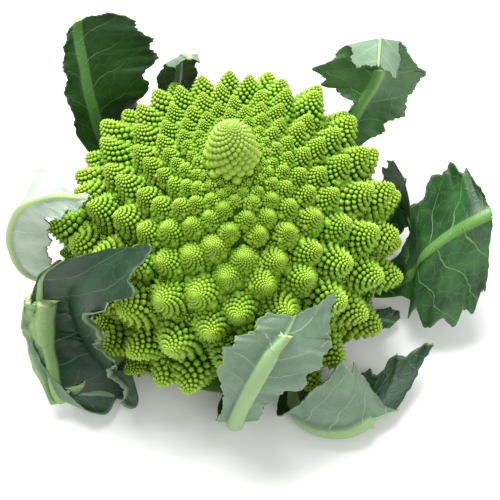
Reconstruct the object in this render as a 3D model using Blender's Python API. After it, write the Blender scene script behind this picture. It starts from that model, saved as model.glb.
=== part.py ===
"""Romanesco: one head of fused florets on its cut stalk, inside its trimmed outer leaves.

The origin is the middle of the stalk's cut face, which the romanesco stands on. +Z is up and
-Y is the front. Sizes are named in millimetres, and MM turns them into metres at the end.
"""
import math
import random

import bmesh
import bpy
import numpy as np
from mathutils.bvhtree import BVHTree

MM = 0.001
NODE_GAP = 0.3
CROSSING_PASSES = 40
RING_PASSES = 12

# Head: a profile turned round the Z axis, which the tips of the florets touch.
HEAD_HEIGHT = 156.0
PROFILE_STEP = 1.0
# Slope of that profile below level, in degrees, by the length along it from the apex.
PROFILE_SLOPES = (
    (0.0, 46.0), (8.0, 58.0), (24.0, 46.0), (42.0, 28.0), (85.0, 35.0),
    (130.0, 82.0), (172.0, 95.0), (183.0, 140.0), (194.0, 180.0), (290.0, 180.0),
)
UNDERSIDE_START = 180.0
UNDERSIDE_OUTER = 66.0
UNDERSIDE_INNER = 29.0
UNDERSIDE_LIFT = 15.0
UNDERSIDE_RINGS = ((64.0, 17), (50.0, 14), (38.0, 12), (28.0, 10), (14.0, 6))
FLORET_FLOOR = 17.0
FLORET_FLOOR_EASE = 5.0
POLE_RADIUS = 0.6

# Florets: a spiral of golden angles whose distance from the apex grows by a constant factor.
GOLDEN_ANGLE = math.pi * (3.0 - math.sqrt(5.0))
SPIRAL_START = math.radians(199.7)
SPIRAL_GROWTH = 0.0107
SPIRAL_REACH = 60.5
SPIRAL_REACH_INDEX = 120
FIRST_FLORET = -72
LAST_FLORET = 219
PACKING = 0.87
# Lift of a floret's axis above level, in degrees, by the same length along the profile.
AXIS_LIFTS = (
    (0.0, 88.0), (12.0, 62.0), (42.0, 70.0), (64.0, 65.0), (85.0, 58.0),
    (106.0, 44.0), (127.0, 27.0), (148.0, 14.0), (168.0, 6.0),
)
# Height of a floret over its width, by its width.
FLORET_HEIGHTS = ((2.0, 0.45), (6.0, 0.6), (12.0, 0.85), (18.0, 0.92), (40.0, 0.95))
BUDS_PER_WIDTH = 0.6
BUDS_OFFSET = 1.6
FEWEST_BUDS = 3
BUD_GROWTH = 0.075
BUD_OUTER = 0.84
BUD_BUMP = 0.09
BUD_VALLEY = 0.03
TIP_BLUNT = 0.15
CONE_TILT = 0.45
CONE_FULLNESS = 0.82
FLORET_VALLEY = 0.08
SINGLE_VALLEY = 0.5
FLORET_JITTER = 0.035
HEAD_SEED = 11

# Stalk under the head.
STEM_RADIUS = 20.0
STEM_FLARE = 1.5
STEM_SIDES = 28

# Leaves: blade thickness, and how near the florets a blade may come.
BLADE_HALF = 0.5
HEAD_CLEARANCE = 2.6
LEAF_ROOT_RADIUS = STEM_RADIUS + STEM_FLARE + NODE_GAP
LEAF_ROOT_HALF = 4.0
LEAF_ROOT_HEIGHT = 8.0
LEAF_UNDER_RADIUS = 58.0
ROWS_PER_SPAN = 2
BLADE_COLUMNS = (1.0, 0.66, 0.33, 0.0)
EDGE_WAVE = 1.5
EDGE_TEAR = 0.07


def clear_scene():
    """Remove every object that the new file came with."""
    for item in list(bpy.data.objects):
        bpy.data.objects.remove(item, do_unlink=True)


def read_table(pairs, value):
    """Read a value between the rows of a table of pairs."""
    keys = [pair[0] for pair in pairs]
    values = [pair[1] for pair in pairs]
    return np.interp(value, keys, values)


def unit(vectors):
    """Scale vectors to length one."""
    vectors = np.asarray(vectors, dtype=float)
    lengths = np.linalg.norm(vectors, axis=-1, keepdims=True)
    return vectors / np.maximum(lengths, 1e-9)


class Profile:
    """The closed outline of the head, from the apex down and in under the florets."""

    def __init__(self):
        lengths = np.arange(0.0, PROFILE_SLOPES[-1][0], PROFILE_STEP)
        slopes = np.radians(read_table(PROFILE_SLOPES, lengths))
        radii = np.concatenate([[0.0], np.cumsum(np.cos(slopes) * PROFILE_STEP)[:-1]])
        drops = np.concatenate([[0.0], np.cumsum(np.sin(slopes) * PROFILE_STEP)[:-1]])
        keep = (radii > POLE_RADIUS) | (lengths < UNDERSIDE_START)
        self.lengths = lengths[keep]
        self.radii = radii[keep]
        heights = HEAD_HEIGHT - drops[keep]
        inward = np.clip(UNDERSIDE_OUTER - self.radii, 0.0, UNDERSIDE_OUTER - UNDERSIDE_INNER)
        lift = UNDERSIDE_LIFT * inward / (UNDERSIDE_OUTER - UNDERSIDE_INNER)
        self.heights = heights + np.where(self.lengths > UNDERSIDE_START, lift, 0.0)
        steps = PROFILE_STEP / np.maximum(self.radii, POLE_RADIUS)
        self.depths = np.concatenate([[0.0], np.cumsum(0.5 * (steps[1:] + steps[:-1]))])
        self.middle_depth = float(np.interp(SPIRAL_REACH, self.lengths, self.depths))

    def radius(self, length):
        """Return the radius at a length along the outline."""
        return np.interp(length, self.lengths, self.radii)

    def height(self, length):
        """Return the height at a length along the outline."""
        return np.interp(length, self.lengths, self.heights)

    def under_length(self, radius):
        """Return the length at which the underside has a given radius."""
        under = self.lengths > UNDERSIDE_START
        return float(np.interp(-radius, -self.radii[under], self.lengths[under]))

    def width(self, length):
        """Return the width of the florets at a length along the outline."""
        area = 2.0 * math.pi * self.radius(length) * length * SPIRAL_GROWTH / PACKING
        return np.sqrt(area)

    def tall(self, length):
        """Return the height of the florets at a length along the outline."""
        width = self.width(length)
        return width * read_table(FLORET_HEIGHTS, width)

    def axis(self, length, turn):
        """Return the direction in which the florets point."""
        lift = np.radians(read_table(AXIS_LIFTS, length))
        level = np.cos(lift)
        return np.array([level * math.cos(turn), level * math.sin(turn), np.sin(lift)])

    def point(self, length, turn):
        """Return a point of the outline turned round the Z axis."""
        radius = self.radius(length)
        return np.array([radius * math.cos(turn), radius * math.sin(turn), self.height(length)])

    def foot(self, length, turn):
        """Return the point under the outline that the florets stand on."""
        return self.point(length, turn) - self.axis(length, turn) * self.tall(length)

    def direction(self, length, turn):
        """Map a place on the head to a unit sphere, keeping its angles."""
        depth = np.interp(length, self.lengths, self.depths) - self.middle_depth
        polar = 2.0 * np.arctan(np.exp(depth))
        return np.stack([
            np.sin(polar) * np.cos(turn), np.sin(polar) * np.sin(turn), np.cos(polar),
        ], axis=-1)

    def clear(self, points, margins):
        """Push points that are nearer to the outline than their margins straight out of it."""
        points = np.asarray(points, dtype=float)
        flat = points.reshape(-1, 3)
        margins = np.broadcast_to(margins, points.shape[:-1]).reshape(-1)
        radial = np.hypot(flat[:, 0], flat[:, 1])
        outline = np.stack([self.radii, self.heights], axis=-1)
        tangents = unit(np.gradient(outline, axis=0))
        normals = np.stack([-tangents[:, 1], tangents[:, 0]], axis=-1)
        moved = flat.copy()
        for index, point in enumerate(np.stack([radial, flat[:, 2]], axis=-1)):
            offsets = point - outline
            nearest = int(np.argmin((offsets ** 2).sum(axis=1)))
            away = float(offsets[nearest] @ normals[nearest])
            short = margins[index] - away
            if short > 0.0 and radial[index] > POLE_RADIUS:
                shift = normals[nearest] * short
                scale = 1.0 + shift[0] / radial[index]
                moved[index, 0] *= scale
                moved[index, 1] *= scale
                moved[index, 2] += shift[1]
        return moved.reshape(points.shape)


class Floret:
    """One floret: a blunt cone on the head, with its own plane of buds seen from its tip."""

    def __init__(self, profile, index, rng):
        length = SPIRAL_REACH * math.exp(SPIRAL_GROWTH * (index - SPIRAL_REACH_INDEX))
        self.profile = profile
        self.width = float(profile.width(length))
        self.radius = float(profile.radius(length))
        self.length = length + rng.uniform(-1.0, 1.0) * FLORET_JITTER * self.width
        self.turn = index * GOLDEN_ANGLE + SPIRAL_START
        self.turn += rng.uniform(-1.0, 1.0) * FLORET_JITTER * self.width / self.radius
        self.axis = profile.axis(self.length, self.turn)
        self.tip = profile.point(self.length, self.turn)
        self.tip = self.tip - self.axis * (rng.uniform(0.0, 0.07) * self.width)
        buds = int(round(BUDS_PER_WIDTH * self.width - BUDS_OFFSET))
        self.buds = buds if buds >= FEWEST_BUDS else 0
        self.twist = rng.uniform(0.0, 2.0 * math.pi)
        self.valley = (FLORET_VALLEY if self.buds else SINGLE_VALLEY) * self.width

    def surface(self, place, lift):
        """Return the point of the cone under a place in the plane, raised from it by lift."""
        share = float(np.hypot(*place))
        fall = (math.hypot(share, TIP_BLUNT) - TIP_BLUNT) / (math.hypot(1.0, TIP_BLUNT) - TIP_BLUNT)
        rim = 0.5 * self.width * place / max(share, 1e-6)
        foot = self.profile.foot(self.length + rim[0], self.turn + rim[1] / self.radius)
        slant = foot - self.tip
        along = self.axis * float(slant @ self.axis)
        side = slant - along
        out = unit(unit(side) * min(share / TIP_BLUNT, 1.0) + CONE_TILT * self.axis)
        return self.tip + along * fall + side * share ** CONE_FULLNESS + out * lift

    def places(self):
        """Return the places of the tip and the buds in the plane, as shares of the half width."""
        places = [np.zeros(2)]
        for bud in range(1, self.buds + 1):
            share = BUD_OUTER * math.exp(BUD_GROWTH * (bud - self.buds))
            angle = bud * GOLDEN_ANGLE + self.twist
            places.append(share * np.array([math.cos(angle), math.sin(angle)]))
        return places

    def direction(self, profile, place):
        """Return the direction on the unit sphere of a place in the plane."""
        reach = 0.5 * self.width * place
        return profile.direction(self.length + reach[0], self.turn + reach[1] / self.radius)


class HeadPoints:
    """Collects the peaks of the head, with the floret and the place that each belongs to."""

    def __init__(self):
        self.directions = []
        self.points = []
        self.florets = []
        self.places = []

    def add(self, direction, point, floret=None, place=None):
        """Add one peak."""
        self.directions.append(direction)
        self.points.append(point)
        self.florets.append(floret)
        self.places.append(place)

    def valley(self, corners):
        """Return the low point between three peaks."""
        florets = [self.florets[corner] for corner in corners]
        first = florets[0]
        if first is not None and all(floret is first for floret in florets):
            place = sum(self.places[corner] for corner in corners) / 3.0
            return first.surface(place, -BUD_VALLEY * first.width * float(np.hypot(*place)))
        low = np.zeros(3)
        for corner, floret in zip(corners, florets):
            if floret is None:
                low = low + self.points[corner]
            else:
                low = low + floret.surface(self.places[corner], 0.0) - floret.axis * floret.valley
        return low / 3.0


def add_floret(points, profile, index, rng):
    """Add the tip and the buds of one floret."""
    floret = Floret(profile, index, rng)
    for place in floret.places():
        bump = BUD_BUMP * floret.width * float(np.hypot(*place))
        points.add(floret.direction(profile, place), floret.surface(place, bump), floret, place)


def add_underside(points, profile):
    """Add the plain rings that close the head under its florets, down to the stalk's top."""
    for ring, (radius, count) in enumerate(UNDERSIDE_RINGS):
        length = profile.under_length(radius)
        height = float(profile.height(length))
        for step in range(count):
            turn = 2.0 * math.pi * (step + 0.5 * (ring % 2)) / count
            base = np.array([radius * math.cos(turn), radius * math.sin(turn), height])
            points.add(profile.direction(length, turn), base)
    points.add(np.array([0.0, 0.0, -1.0]), np.array([0.0, 0.0, float(profile.heights[-1])]))


def hull_triangles(directions):
    """Return the triangles that join the peaks, from the hull of their directions."""
    hull = bmesh.new()
    corners = [hull.verts.new(direction) for direction in directions]
    hull.verts.index_update()
    bmesh.ops.convex_hull(hull, input=corners, use_existing_faces=False)
    triangles = []
    for face in hull.faces:
        order = [corner.index for corner in face.verts]
        middle = face.calc_center_median()
        if face.normal.dot(middle) < 0.0:
            order.reverse()
        triangles.append(order)
    hull.free()
    return triangles


def build_head(profile):
    """Build the head as one closed skin: a peak for each bud, with a valley between each three."""
    rng = random.Random(HEAD_SEED)
    points = HeadPoints()
    points.add(np.array([0.0, 0.0, 1.0]), np.array([0.0, 0.0, HEAD_HEIGHT]))
    for index in range(FIRST_FLORET, LAST_FLORET + 1):
        add_floret(points, profile, index, rng)
    add_underside(points, profile)
    vertices = list(points.points)
    edges = {}
    for triangle in hull_triangles(points.directions):
        corners = list(triangle)
        place = len(vertices)
        vertices.append(points.valley(corners))
        for start, end in zip(corners, corners[1:] + corners[:1]):
            edges[(start, end)] = place
    faces = []
    for (start, end), left in edges.items():
        if start < end:
            right = edges[(end, start)]
            faces.append((start, right, left))
            faces.append((end, left, right))
    vertices = np.array(vertices)
    low = vertices[:, 2] < FLORET_FLOOR + FLORET_FLOOR_EASE
    ease = np.exp((vertices[:, 2] - FLORET_FLOOR) / FLORET_FLOOR_EASE - 1.0)
    vertices[low, 2] = FLORET_FLOOR + FLORET_FLOOR_EASE * ease[low]
    return vertices, faces


def build_stem(profile):
    """Build the stalk: a slightly flared, ribbed cylinder with flat ends."""
    top = float(profile.heights[-1]) - NODE_GAP
    levels = (
        (0.0, STEM_RADIUS + STEM_FLARE - 1.0), (1.0, STEM_RADIUS + STEM_FLARE),
        (0.45 * top, STEM_RADIUS + 0.3 * STEM_FLARE), (0.9 * top, STEM_RADIUS),
        (top, STEM_RADIUS - 0.8),
    )
    vertices = []
    faces = []
    for height, radius in levels:
        for side in range(STEM_SIDES):
            turn = 2.0 * math.pi * side / STEM_SIDES
            vertices.append((radius * math.cos(turn), radius * math.sin(turn), height))
    for level in range(len(levels) - 1):
        for side in range(STEM_SIDES):
            low = level * STEM_SIDES
            after = (side + 1) % STEM_SIDES
            faces.append((low + side, low + after, low + STEM_SIDES + after, low + STEM_SIDES + side))
    last = (len(levels) - 1) * STEM_SIDES
    faces.append(tuple(reversed(range(STEM_SIDES))))
    faces.append(tuple(last + side for side in range(STEM_SIDES)))
    return np.array(vertices), faces


def smooth_rows(points, per_span):
    """Run a smooth curve through a list of points, with a number of rows to each span."""
    points = np.asarray(points, dtype=float)
    ends = np.concatenate([[2.0 * points[0] - points[1]], points, [2.0 * points[-1] - points[-2]]])
    rows = []
    for span in range(len(points) - 1):
        before, start, end, after = ends[span:span + 4]
        for step in range(per_span):
            share = step / per_span
            rows.append(0.5 * (
                2.0 * start + (end - before) * share
                + (2.0 * before - 5.0 * start + 4.0 * end - after) * share ** 2
                + (3.0 * start - before - 3.0 * end + after) * share ** 3))
    rows.append(points[-1])
    return np.array(rows)


def leaf_grid(profile, rows, bow, rib, rng):
    """Lay out the middle surface of a leaf and its half thicknesses.

    Each row of control points is (left edge, rib, right edge), from the root to the tip. bow is
    how far the left and right halves bulge to the upper face and how far they spread from each
    other, as shares of their width. rib is the rib's half width at the root, its half width where
    it is cut, and the row of that cut.
    """
    count = (len(rows) - 1) * ROWS_PER_SPAN + 1
    left = smooth_rows([row[0] for row in rows], ROWS_PER_SPAN)
    middle = smooth_rows([row[1] for row in rows], ROWS_PER_SPAN)
    right = smooth_rows([row[2] for row in rows], ROWS_PER_SPAN)
    along = np.gradient(middle, axis=0)
    aside = unit(right - left)
    upper = unit(np.cross(aside, along))
    root_half, cut_half, cut_row = rib
    place = np.arange(count) / ROWS_PER_SPAN
    half = np.interp(place, [0.0, cut_row, cut_row + 0.5], [root_half, cut_half, 1.2])
    phases = [rng.uniform(0.0, 2.0 * math.pi) for _ in range(4)]
    grid = []
    for row in range(count):
        columns = []
        for side, (edge, bulge) in enumerate(((left[row], bow[0]), (right[row], bow[1]))):
            wave = math.sin(place[row] * 2.9 + phases[side]) + 0.6 * math.sin(place[row] * 6.1 + phases[2])
            tear = 1.0 + EDGE_TEAR * math.sin(place[row] * 7.7 + phases[3] + side)
            fade = min(1.0, place[row] / 2.5)
            span = (edge - middle[row]) * (1.0 + (tear - 1.0) * fade)
            width = float(np.linalg.norm(span))
            control = 0.5 * span + upper[row] * (bulge * width)
            control = control + aside[row] * ((2 * side - 1) * bow[2] * width)
            inner = min(half[row] / max(width, 0.1), 0.6)
            strip = []
            for column in BLADE_COLUMNS:
                share = inner + (1.0 - inner) * column
                offset = 2.0 * share * (1.0 - share) * control + share ** 2 * span
                offset = offset + upper[row] * (wave * EDGE_WAVE * fade * share ** 2)
                strip.append(middle[row] + offset)
            columns.append(strip)
        grid.append(columns[0] + [middle[row]] + columns[1][::-1])
    grid = np.array(grid)
    spare = np.full(grid.shape[:2], HEAD_CLEARANCE)
    spare[:, 4] += 0.3 * half
    grid = profile.clear(grid, spare)
    below = np.full(grid.shape[:2], BLADE_HALF)
    below[:, 3] = below[:, 5] = BLADE_HALF + 0.25 * half
    below[:, 4] = BLADE_HALF + 0.95 * half
    above = np.full(grid.shape[:2], BLADE_HALF)
    above[:, 4] = BLADE_HALF + 0.25 * half
    return grid, above, below


def shell_faces(rows, columns):
    """Return the triangles of a closed sheet whose two sides are cut up alike."""
    faces = []
    back = rows * columns
    for row in range(rows - 1):
        for column in range(columns - 1):
            near = row * columns + column
            far = near + columns
            faces.append((near, near + 1, far + 1))
            faces.append((near, far + 1, far))
            faces.append((back + near, back + far + 1, back + near + 1))
            faces.append((back + near, back + far, back + far + 1))
    border = [column for column in range(columns)]
    border += [row * columns + columns - 1 for row in range(1, rows)]
    border += [(rows - 1) * columns + column for column in range(columns - 2, -1, -1)]
    border += [row * columns for row in range(rows - 2, 0, -1)]
    for start, end in zip(border, border[1:] + border[:1]):
        faces.append((start, back + end, end))
        faces.append((start, back + start, back + end))
    return faces


def build_leaf(profile, rows, bow, rib, seed):
    """Build one leaf as a closed shell with its thick rib on the lower face."""
    grid, above, below = leaf_grid(profile, rows, bow, rib, random.Random(seed))
    along = np.gradient(grid, axis=0)
    across = np.gradient(grid, axis=1)
    normals = unit(np.cross(across, along))
    front = grid + normals * above[..., None]
    back = grid - normals * below[..., None]
    vertices = np.concatenate([front.reshape(-1, 3), back.reshape(-1, 3)])
    return vertices, shell_faces(grid.shape[0], grid.shape[1])


def ease_crossings(vertices, faces, passes=CROSSING_PASSES):
    """Draw the points of faces that cross each other towards their neighbours until none do."""
    vertices = np.array(vertices, dtype=float)
    neighbours = [set() for _ in vertices]
    for face in faces:
        for corner in face:
            neighbours[corner].update(other for other in face if other != corner)
    for turn in range(passes):
        tree = BVHTree.FromPolygons(vertices.tolist(), faces)
        touched = set()
        for one, other in tree.overlap(tree):
            if one < other and not set(faces[one]) & set(faces[other]):
                touched.update(faces[one])
                touched.update(faces[other])
        if not touched:
            break
        for _ in range(turn // RING_PASSES):
            touched = touched.union(*(neighbours[corner] for corner in touched))
        moved = vertices.copy()
        for corner in sorted(touched):
            middle = vertices[sorted(neighbours[corner])].mean(axis=0)
            moved[corner] = 0.6 * vertices[corner] + 0.4 * middle
        vertices = moved
    return vertices


def make_material(name, colour, roughness):
    """Make a plain finish with the colour and roughness of one piece."""
    material = bpy.data.materials.new(name)
    material.use_nodes = True
    shader = material.node_tree.nodes["Principled BSDF"]
    shader.inputs["Base Color"].default_value = (*colour, 1.0)
    shader.inputs["Roughness"].default_value = roughness
    shader.inputs["Metallic"].default_value = 0.0
    return material


def make_object(name, vertices, faces, material):
    """Turn millimetre points and faces into a named object in metres, faces outwards."""
    vertices = ease_crossings(vertices, faces)
    mesh = bpy.data.meshes.new(name)
    mesh.from_pydata([tuple(float(value) * MM for value in vertex) for vertex in vertices], [], faces)
    model = bmesh.new()
    model.from_mesh(mesh)
    bmesh.ops.triangulate(model, faces=[face for face in model.faces if len(face.verts) > 3])
    bmesh.ops.recalc_face_normals(model, faces=model.faces)
    model.to_mesh(mesh)
    model.free()
    mesh.materials.append(material)
    item = bpy.data.objects.new(name, mesh)
    bpy.context.scene.collection.objects.link(item)
    return item


def root_rows(degrees, under_half):
    """Return a leaf's first two rows: its root against the stalk, and its stalk under the head."""
    turn = math.radians(degrees)
    outward = np.array([math.cos(turn), math.sin(turn), 0.0])
    aside = np.array([math.sin(turn), -math.cos(turn), 0.0])
    rows = []
    for radius, width in ((LEAF_ROOT_RADIUS, LEAF_ROOT_HALF), (LEAF_UNDER_RADIUS, under_half)):
        centre = outward * radius + np.array([0.0, 0.0, LEAF_ROOT_HEIGHT])
        rows.append((centre - aside * width, centre, centre + aside * width))
    return rows


# Each leaf: the direction of its root, its half width under the head, the bulge and the spread of
# its two halves, its rib, and its rows of (left edge, rib, right edge) outside the head, in
# millimetres, seen with the upper face towards the eye and the root below.
LEAVES = {
    "leaf_back_left": (133.0, 7.0, (-0.10, -0.16, 0.0), (3.4, 3.2, 6.0), (
        ((-78, 52, 40), (-68, 58, 36), (-52, 76, 36)),
        ((-88, 64, 74), (-76, 69, 68), (-48, 82, 62)),
        ((-88, 73, 92), (-79, 81, 86), (-41, 90, 82)),
        ((-88, 84, 100), (-81, 90, 98), (-44, 93, 98)),
        ((-85, 91, 104), (-81, 95, 107), (-60, 99, 110)),
    )),
    "leaf_back": (103.0, 5.0, (-0.12, -0.12, 0.0), (2.6, 1.4, 5.0), (
        ((-44, 84, 30), (-32, 89, 30), (-20, 92, 32)),
        ((-42, 84, 64), (-30, 88, 68), (-20, 90, 66)),
        ((-37, 80, 86), (-27, 84, 90), (-18, 84, 88)),
        ((-28, 74, 98), (-22, 74, 102), (-17, 72, 102)),
    )),
    "leaf_back_right": (52.0, 6.0, (-0.12, -0.12, 0.0), (3.6, 3.4, 5.0), (
        ((54, 72, 40), (60, 69, 38), (72, 64, 34)),
        ((64, 76, 58), (69, 75, 60), (90, 72, 48)),
        ((50, 82, 62), (74, 78, 70), (98, 81, 60)),
        ((43, 86, 76), (77, 81, 82), (102, 87, 72)),
        ((58, 86, 92), (76, 88, 100), (88, 87, 94)),
        ((62, 68, 102), (73, 64, 108), (84, 62, 98)),
    )),
    "leaf_right": (-6.0, 7.0, (-0.08, 0.05, 0.0), (3.6, 3.4, 6.0), (
        ((92, 8, 18), (92, -12, 24), (94, -22, 18)),
        ((95, 26, 32), (100, -8, 42), (93, -33, 18)),
        ((108, 36, 52), (114, -1, 53), (109, -39, 20)),
        ((118, 33, 66), (124, 2, 60), (122, -36, 26)),
        ((127, 19, 68), (134, 6, 63), (132, -26, 34)),
    )),
    "leaf_right_inner": (20.0, 4.0, (-0.06, -0.06, 0.0), (2.2, 1.0, 4.0), (
        ((78, 44, 28), (86, 28, 28), (92, 14, 28)),
        ((78, 44, 46), (87, 28, 48), (92, 12, 44)),
        ((80, 38, 60), (86, 24, 64), (90, 12, 56)),
    )),
    "leaf_right_lower": (-34.0, 5.0, (0.05, 0.05, 0.0), (2.2, 1.0, 4.0), (
        ((78, -24, 9), (71, -30, 9), (65, -34, 8)),
        ((86, -23, 8), (80, -30, 8), (74, -35, 7)),
        ((90, -28, 7), (87, -31, 6), (84, -34, 6)),
    )),
    "leaf_front_right": (-56.0, 6.0, (-0.05, -0.10, 0.1), (4.0, 4.6, 6.0), (
        ((38, -62, 6), (31, -76, 9), (22, -84, 14)),
        ((54, -64, 5), (41, -90, 9), (34, -84, 40)),
        ((70, -60, 9), (57, -93, 10), (53, -74, 58)),
        ((86, -54, 14), (71, -88, 13), (63, -73, 43)),
        ((106, -49, 24), (86, -82, 10), (73, -81, 24)),
    )),
    "leaf_front": (-86.0, 6.0, (-0.10, -0.10, 0.0), (4.0, 3.4, 6.0), (
        ((12, -84, 13), (1, -88, 15), (-9, -84, 13)),
        ((17, -91, 46), (3, -89, 42), (-5, -89, 50)),
        ((30, -93, 62), (10, -88, 70), (-7, -87, 75)),
        ((43, -85, 78), (18, -82, 87), (-5, -81, 91)),
        ((47, -77, 91), (25, -76, 95), (6, -76, 98)),
        ((50, -57, 107), (30, -69, 103), (16, -69, 104)),
    )),
    "leaf_front_left": (216.0, 7.0, (-0.12, -0.08, 0.3), (4.0, 5.6, 5.0), (
        ((-46, -84, 9), (-90, -75, 11), (-78, -58, 9)),
        ((-56, -77, 32), (-99, -63, 32), (-77, -53, 30)),
        ((-64, -71, 62), (-99, -53, 50), (-76, -53, 58)),
        ((-70, -63, 80), (-96, -46, 68), (-61, -59, 82)),
        ((-79, -53, 90), (-92, -40, 84), (-46, -59, 100)),
        ((-80, -47, 98), (-80, -38, 97), (-37, -41, 121)),
    )),
    "leaf_left": (183.0, 6.0, (-0.10, -0.10, 0.0), (3.2, 1.4, 7.0), (
        ((-98, -12, 28), (-105, -11, 22), (-109, -2, 14)),
        ((-97, -10, 52), (-116, -5, 46), (-118, 12, 34)),
        ((-96, -10, 76), (-109, -1, 74), (-107, 20, 60)),
        ((-85, -17, 96), (-96, -5, 94), (-98, 25, 74)),
        ((-75, -16, 106), (-82, -9, 106), (-81, -1, 100)),
        ((-68, -16, 112), (-67, -14, 112), (-67, -11, 111)),
    )),
}


# Finishes: base colour and roughness of each piece.
FINISHES = {
    "head": ((0.36, 0.56, 0.07), 0.5),
    "stem": ((0.62, 0.72, 0.42), 0.6),
    "leaf_back_left": ((0.05, 0.16, 0.06), 0.45),
    "leaf_back": ((0.05, 0.15, 0.05), 0.45),
    "leaf_back_right": ((0.10, 0.22, 0.07), 0.5),
    "leaf_right": ((0.06, 0.22, 0.05), 0.42),
    "leaf_right_inner": ((0.06, 0.18, 0.06), 0.5),
    "leaf_right_lower": ((0.05, 0.18, 0.05), 0.5),
    "leaf_front_right": ((0.26, 0.40, 0.28), 0.6),
    "leaf_front": ((0.26, 0.38, 0.30), 0.6),
    "leaf_front_left": ((0.07, 0.18, 0.10), 0.5),
    "leaf_left": ((0.38, 0.50, 0.38), 0.6),
}


def main():
    """Build every piece."""
    clear_scene()
    profile = Profile()
    shapes = {"head": build_head(profile), "stem": build_stem(profile)}
    for seed, (name, (degrees, half, bow, rib, rows)) in enumerate(LEAVES.items()):
        rows = root_rows(degrees, half) + list(rows)
        shapes[name] = build_leaf(profile, rows, bow, rib, seed)
    for name, (vertices, faces) in shapes.items():
        make_object(name, vertices, faces, make_material(name + "_finish", *FINISHES[name]))


main()
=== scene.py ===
"""Romanesco: a head of spiral florets on its cut stalk, in a ring of trimmed outer leaves.

Sizes are in millimetres, and MM turns them into metres. +Z is up and -Y is the front.
"""
import logging
import math
import random
from dataclasses import dataclass, field
from enum import Enum
from typing import Iterable, Optional, Sequence, Union

import bmesh
import bpy
import numpy as np
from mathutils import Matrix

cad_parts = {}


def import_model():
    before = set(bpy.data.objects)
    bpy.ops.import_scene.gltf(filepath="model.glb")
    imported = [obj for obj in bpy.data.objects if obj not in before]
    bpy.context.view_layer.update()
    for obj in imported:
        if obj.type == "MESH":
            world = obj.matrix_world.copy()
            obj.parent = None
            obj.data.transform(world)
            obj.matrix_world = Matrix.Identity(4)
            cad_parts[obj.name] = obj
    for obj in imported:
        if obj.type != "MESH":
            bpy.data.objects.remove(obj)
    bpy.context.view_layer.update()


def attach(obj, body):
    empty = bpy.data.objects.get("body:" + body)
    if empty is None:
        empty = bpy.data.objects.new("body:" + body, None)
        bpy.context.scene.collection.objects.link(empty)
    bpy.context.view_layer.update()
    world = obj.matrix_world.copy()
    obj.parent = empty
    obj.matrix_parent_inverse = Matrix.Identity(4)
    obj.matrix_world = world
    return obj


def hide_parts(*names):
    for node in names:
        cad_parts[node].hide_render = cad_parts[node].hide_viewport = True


LOG = logging.getLogger("romanesco")
MM = 0.001
GOLDEN_ANGLE = math.pi * (3.0 - math.sqrt(5.0))
BODY = "root"

Colour = tuple[float, float, float]
Point = tuple[float, float, float]
Row = tuple[Point, Point, Point]
Value = Union[float, int, bpy.types.NodeSocket]


def unit(vectors: np.ndarray) -> np.ndarray:
    """Scale vectors to length one.

    Args:
        vectors: Any array whose last axis holds the vectors.

    Returns:
        The same vectors, each of length one.
    """
    lengths = np.linalg.norm(vectors, axis=-1, keepdims=True)
    return vectors / np.maximum(lengths, 1e-9)


def read_table(pairs: Sequence[tuple[float, float]], value: np.ndarray) -> np.ndarray:
    """Read values between the rows of a table.

    Args:
        pairs: Rows of a key and its value, in the order of the keys.
        value: The keys to read at.

    Returns:
        The values there.
    """
    keys, values = zip(*pairs)
    return np.interp(value, keys, values)


def smooth_curve(points: np.ndarray, places: np.ndarray) -> np.ndarray:
    """Run a smooth curve through points and read it at given places.

    Args:
        points: The points that the curve passes, one to each whole place.
        places: Where to read the curve, from 0 to the last point's number.

    Returns:
        One position for each place.
    """
    ends = np.concatenate([[2.0 * points[0] - points[1]], points, [2.0 * points[-1] - points[-2]]])
    span = np.clip(np.floor(places).astype(int), 0, len(points) - 2)
    share = (places - span)[..., None]
    before, start, end, after = (ends[span + step] for step in range(4))
    return 0.5 * (
        2.0 * start + (end - before) * share
        + (2.0 * before - 5.0 * start + 4.0 * end - after) * share ** 2
        + (3.0 * start - before - 3.0 * end + after) * share ** 3)


def make_mesh(name: str, vertices: np.ndarray, faces: Iterable[Sequence[int]]) -> bpy.types.Object:
    """Turn millimetre points and faces into an object in metres at the origin.

    Args:
        name: The object's name.
        vertices: Points in millimetres.
        faces: Vertex numbers of each face.

    Returns:
        The object, linked to the scene.
    """
    mesh = bpy.data.meshes.new(name)
    mesh.from_pydata((np.asarray(vertices) * MM).tolist(), [], [tuple(face) for face in faces])
    mesh.update()
    item = bpy.data.objects.new(name, mesh)
    bpy.context.scene.collection.objects.link(item)
    return item


def store_numbers(item: bpy.types.Object, name: str, values: np.ndarray) -> None:
    """Store one number, or one vector, at each vertex of an object.

    Args:
        item: The object.
        name: The attribute's name.
        values: One number or one vector for each vertex.
    """
    values = np.asarray(values, dtype=np.float32)
    if values.ndim == 2:
        item.data.attributes.new(name, "FLOAT_VECTOR", "POINT").data.foreach_set("vector", values.ravel())
    else:
        item.data.attributes.new(name, "FLOAT", "POINT").data.foreach_set("value", values)


def shade_smooth(item: bpy.types.Object) -> None:
    """Shade every face of an object smoothly."""
    item.data.polygons.foreach_set("use_smooth", [True] * len(item.data.polygons))


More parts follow.
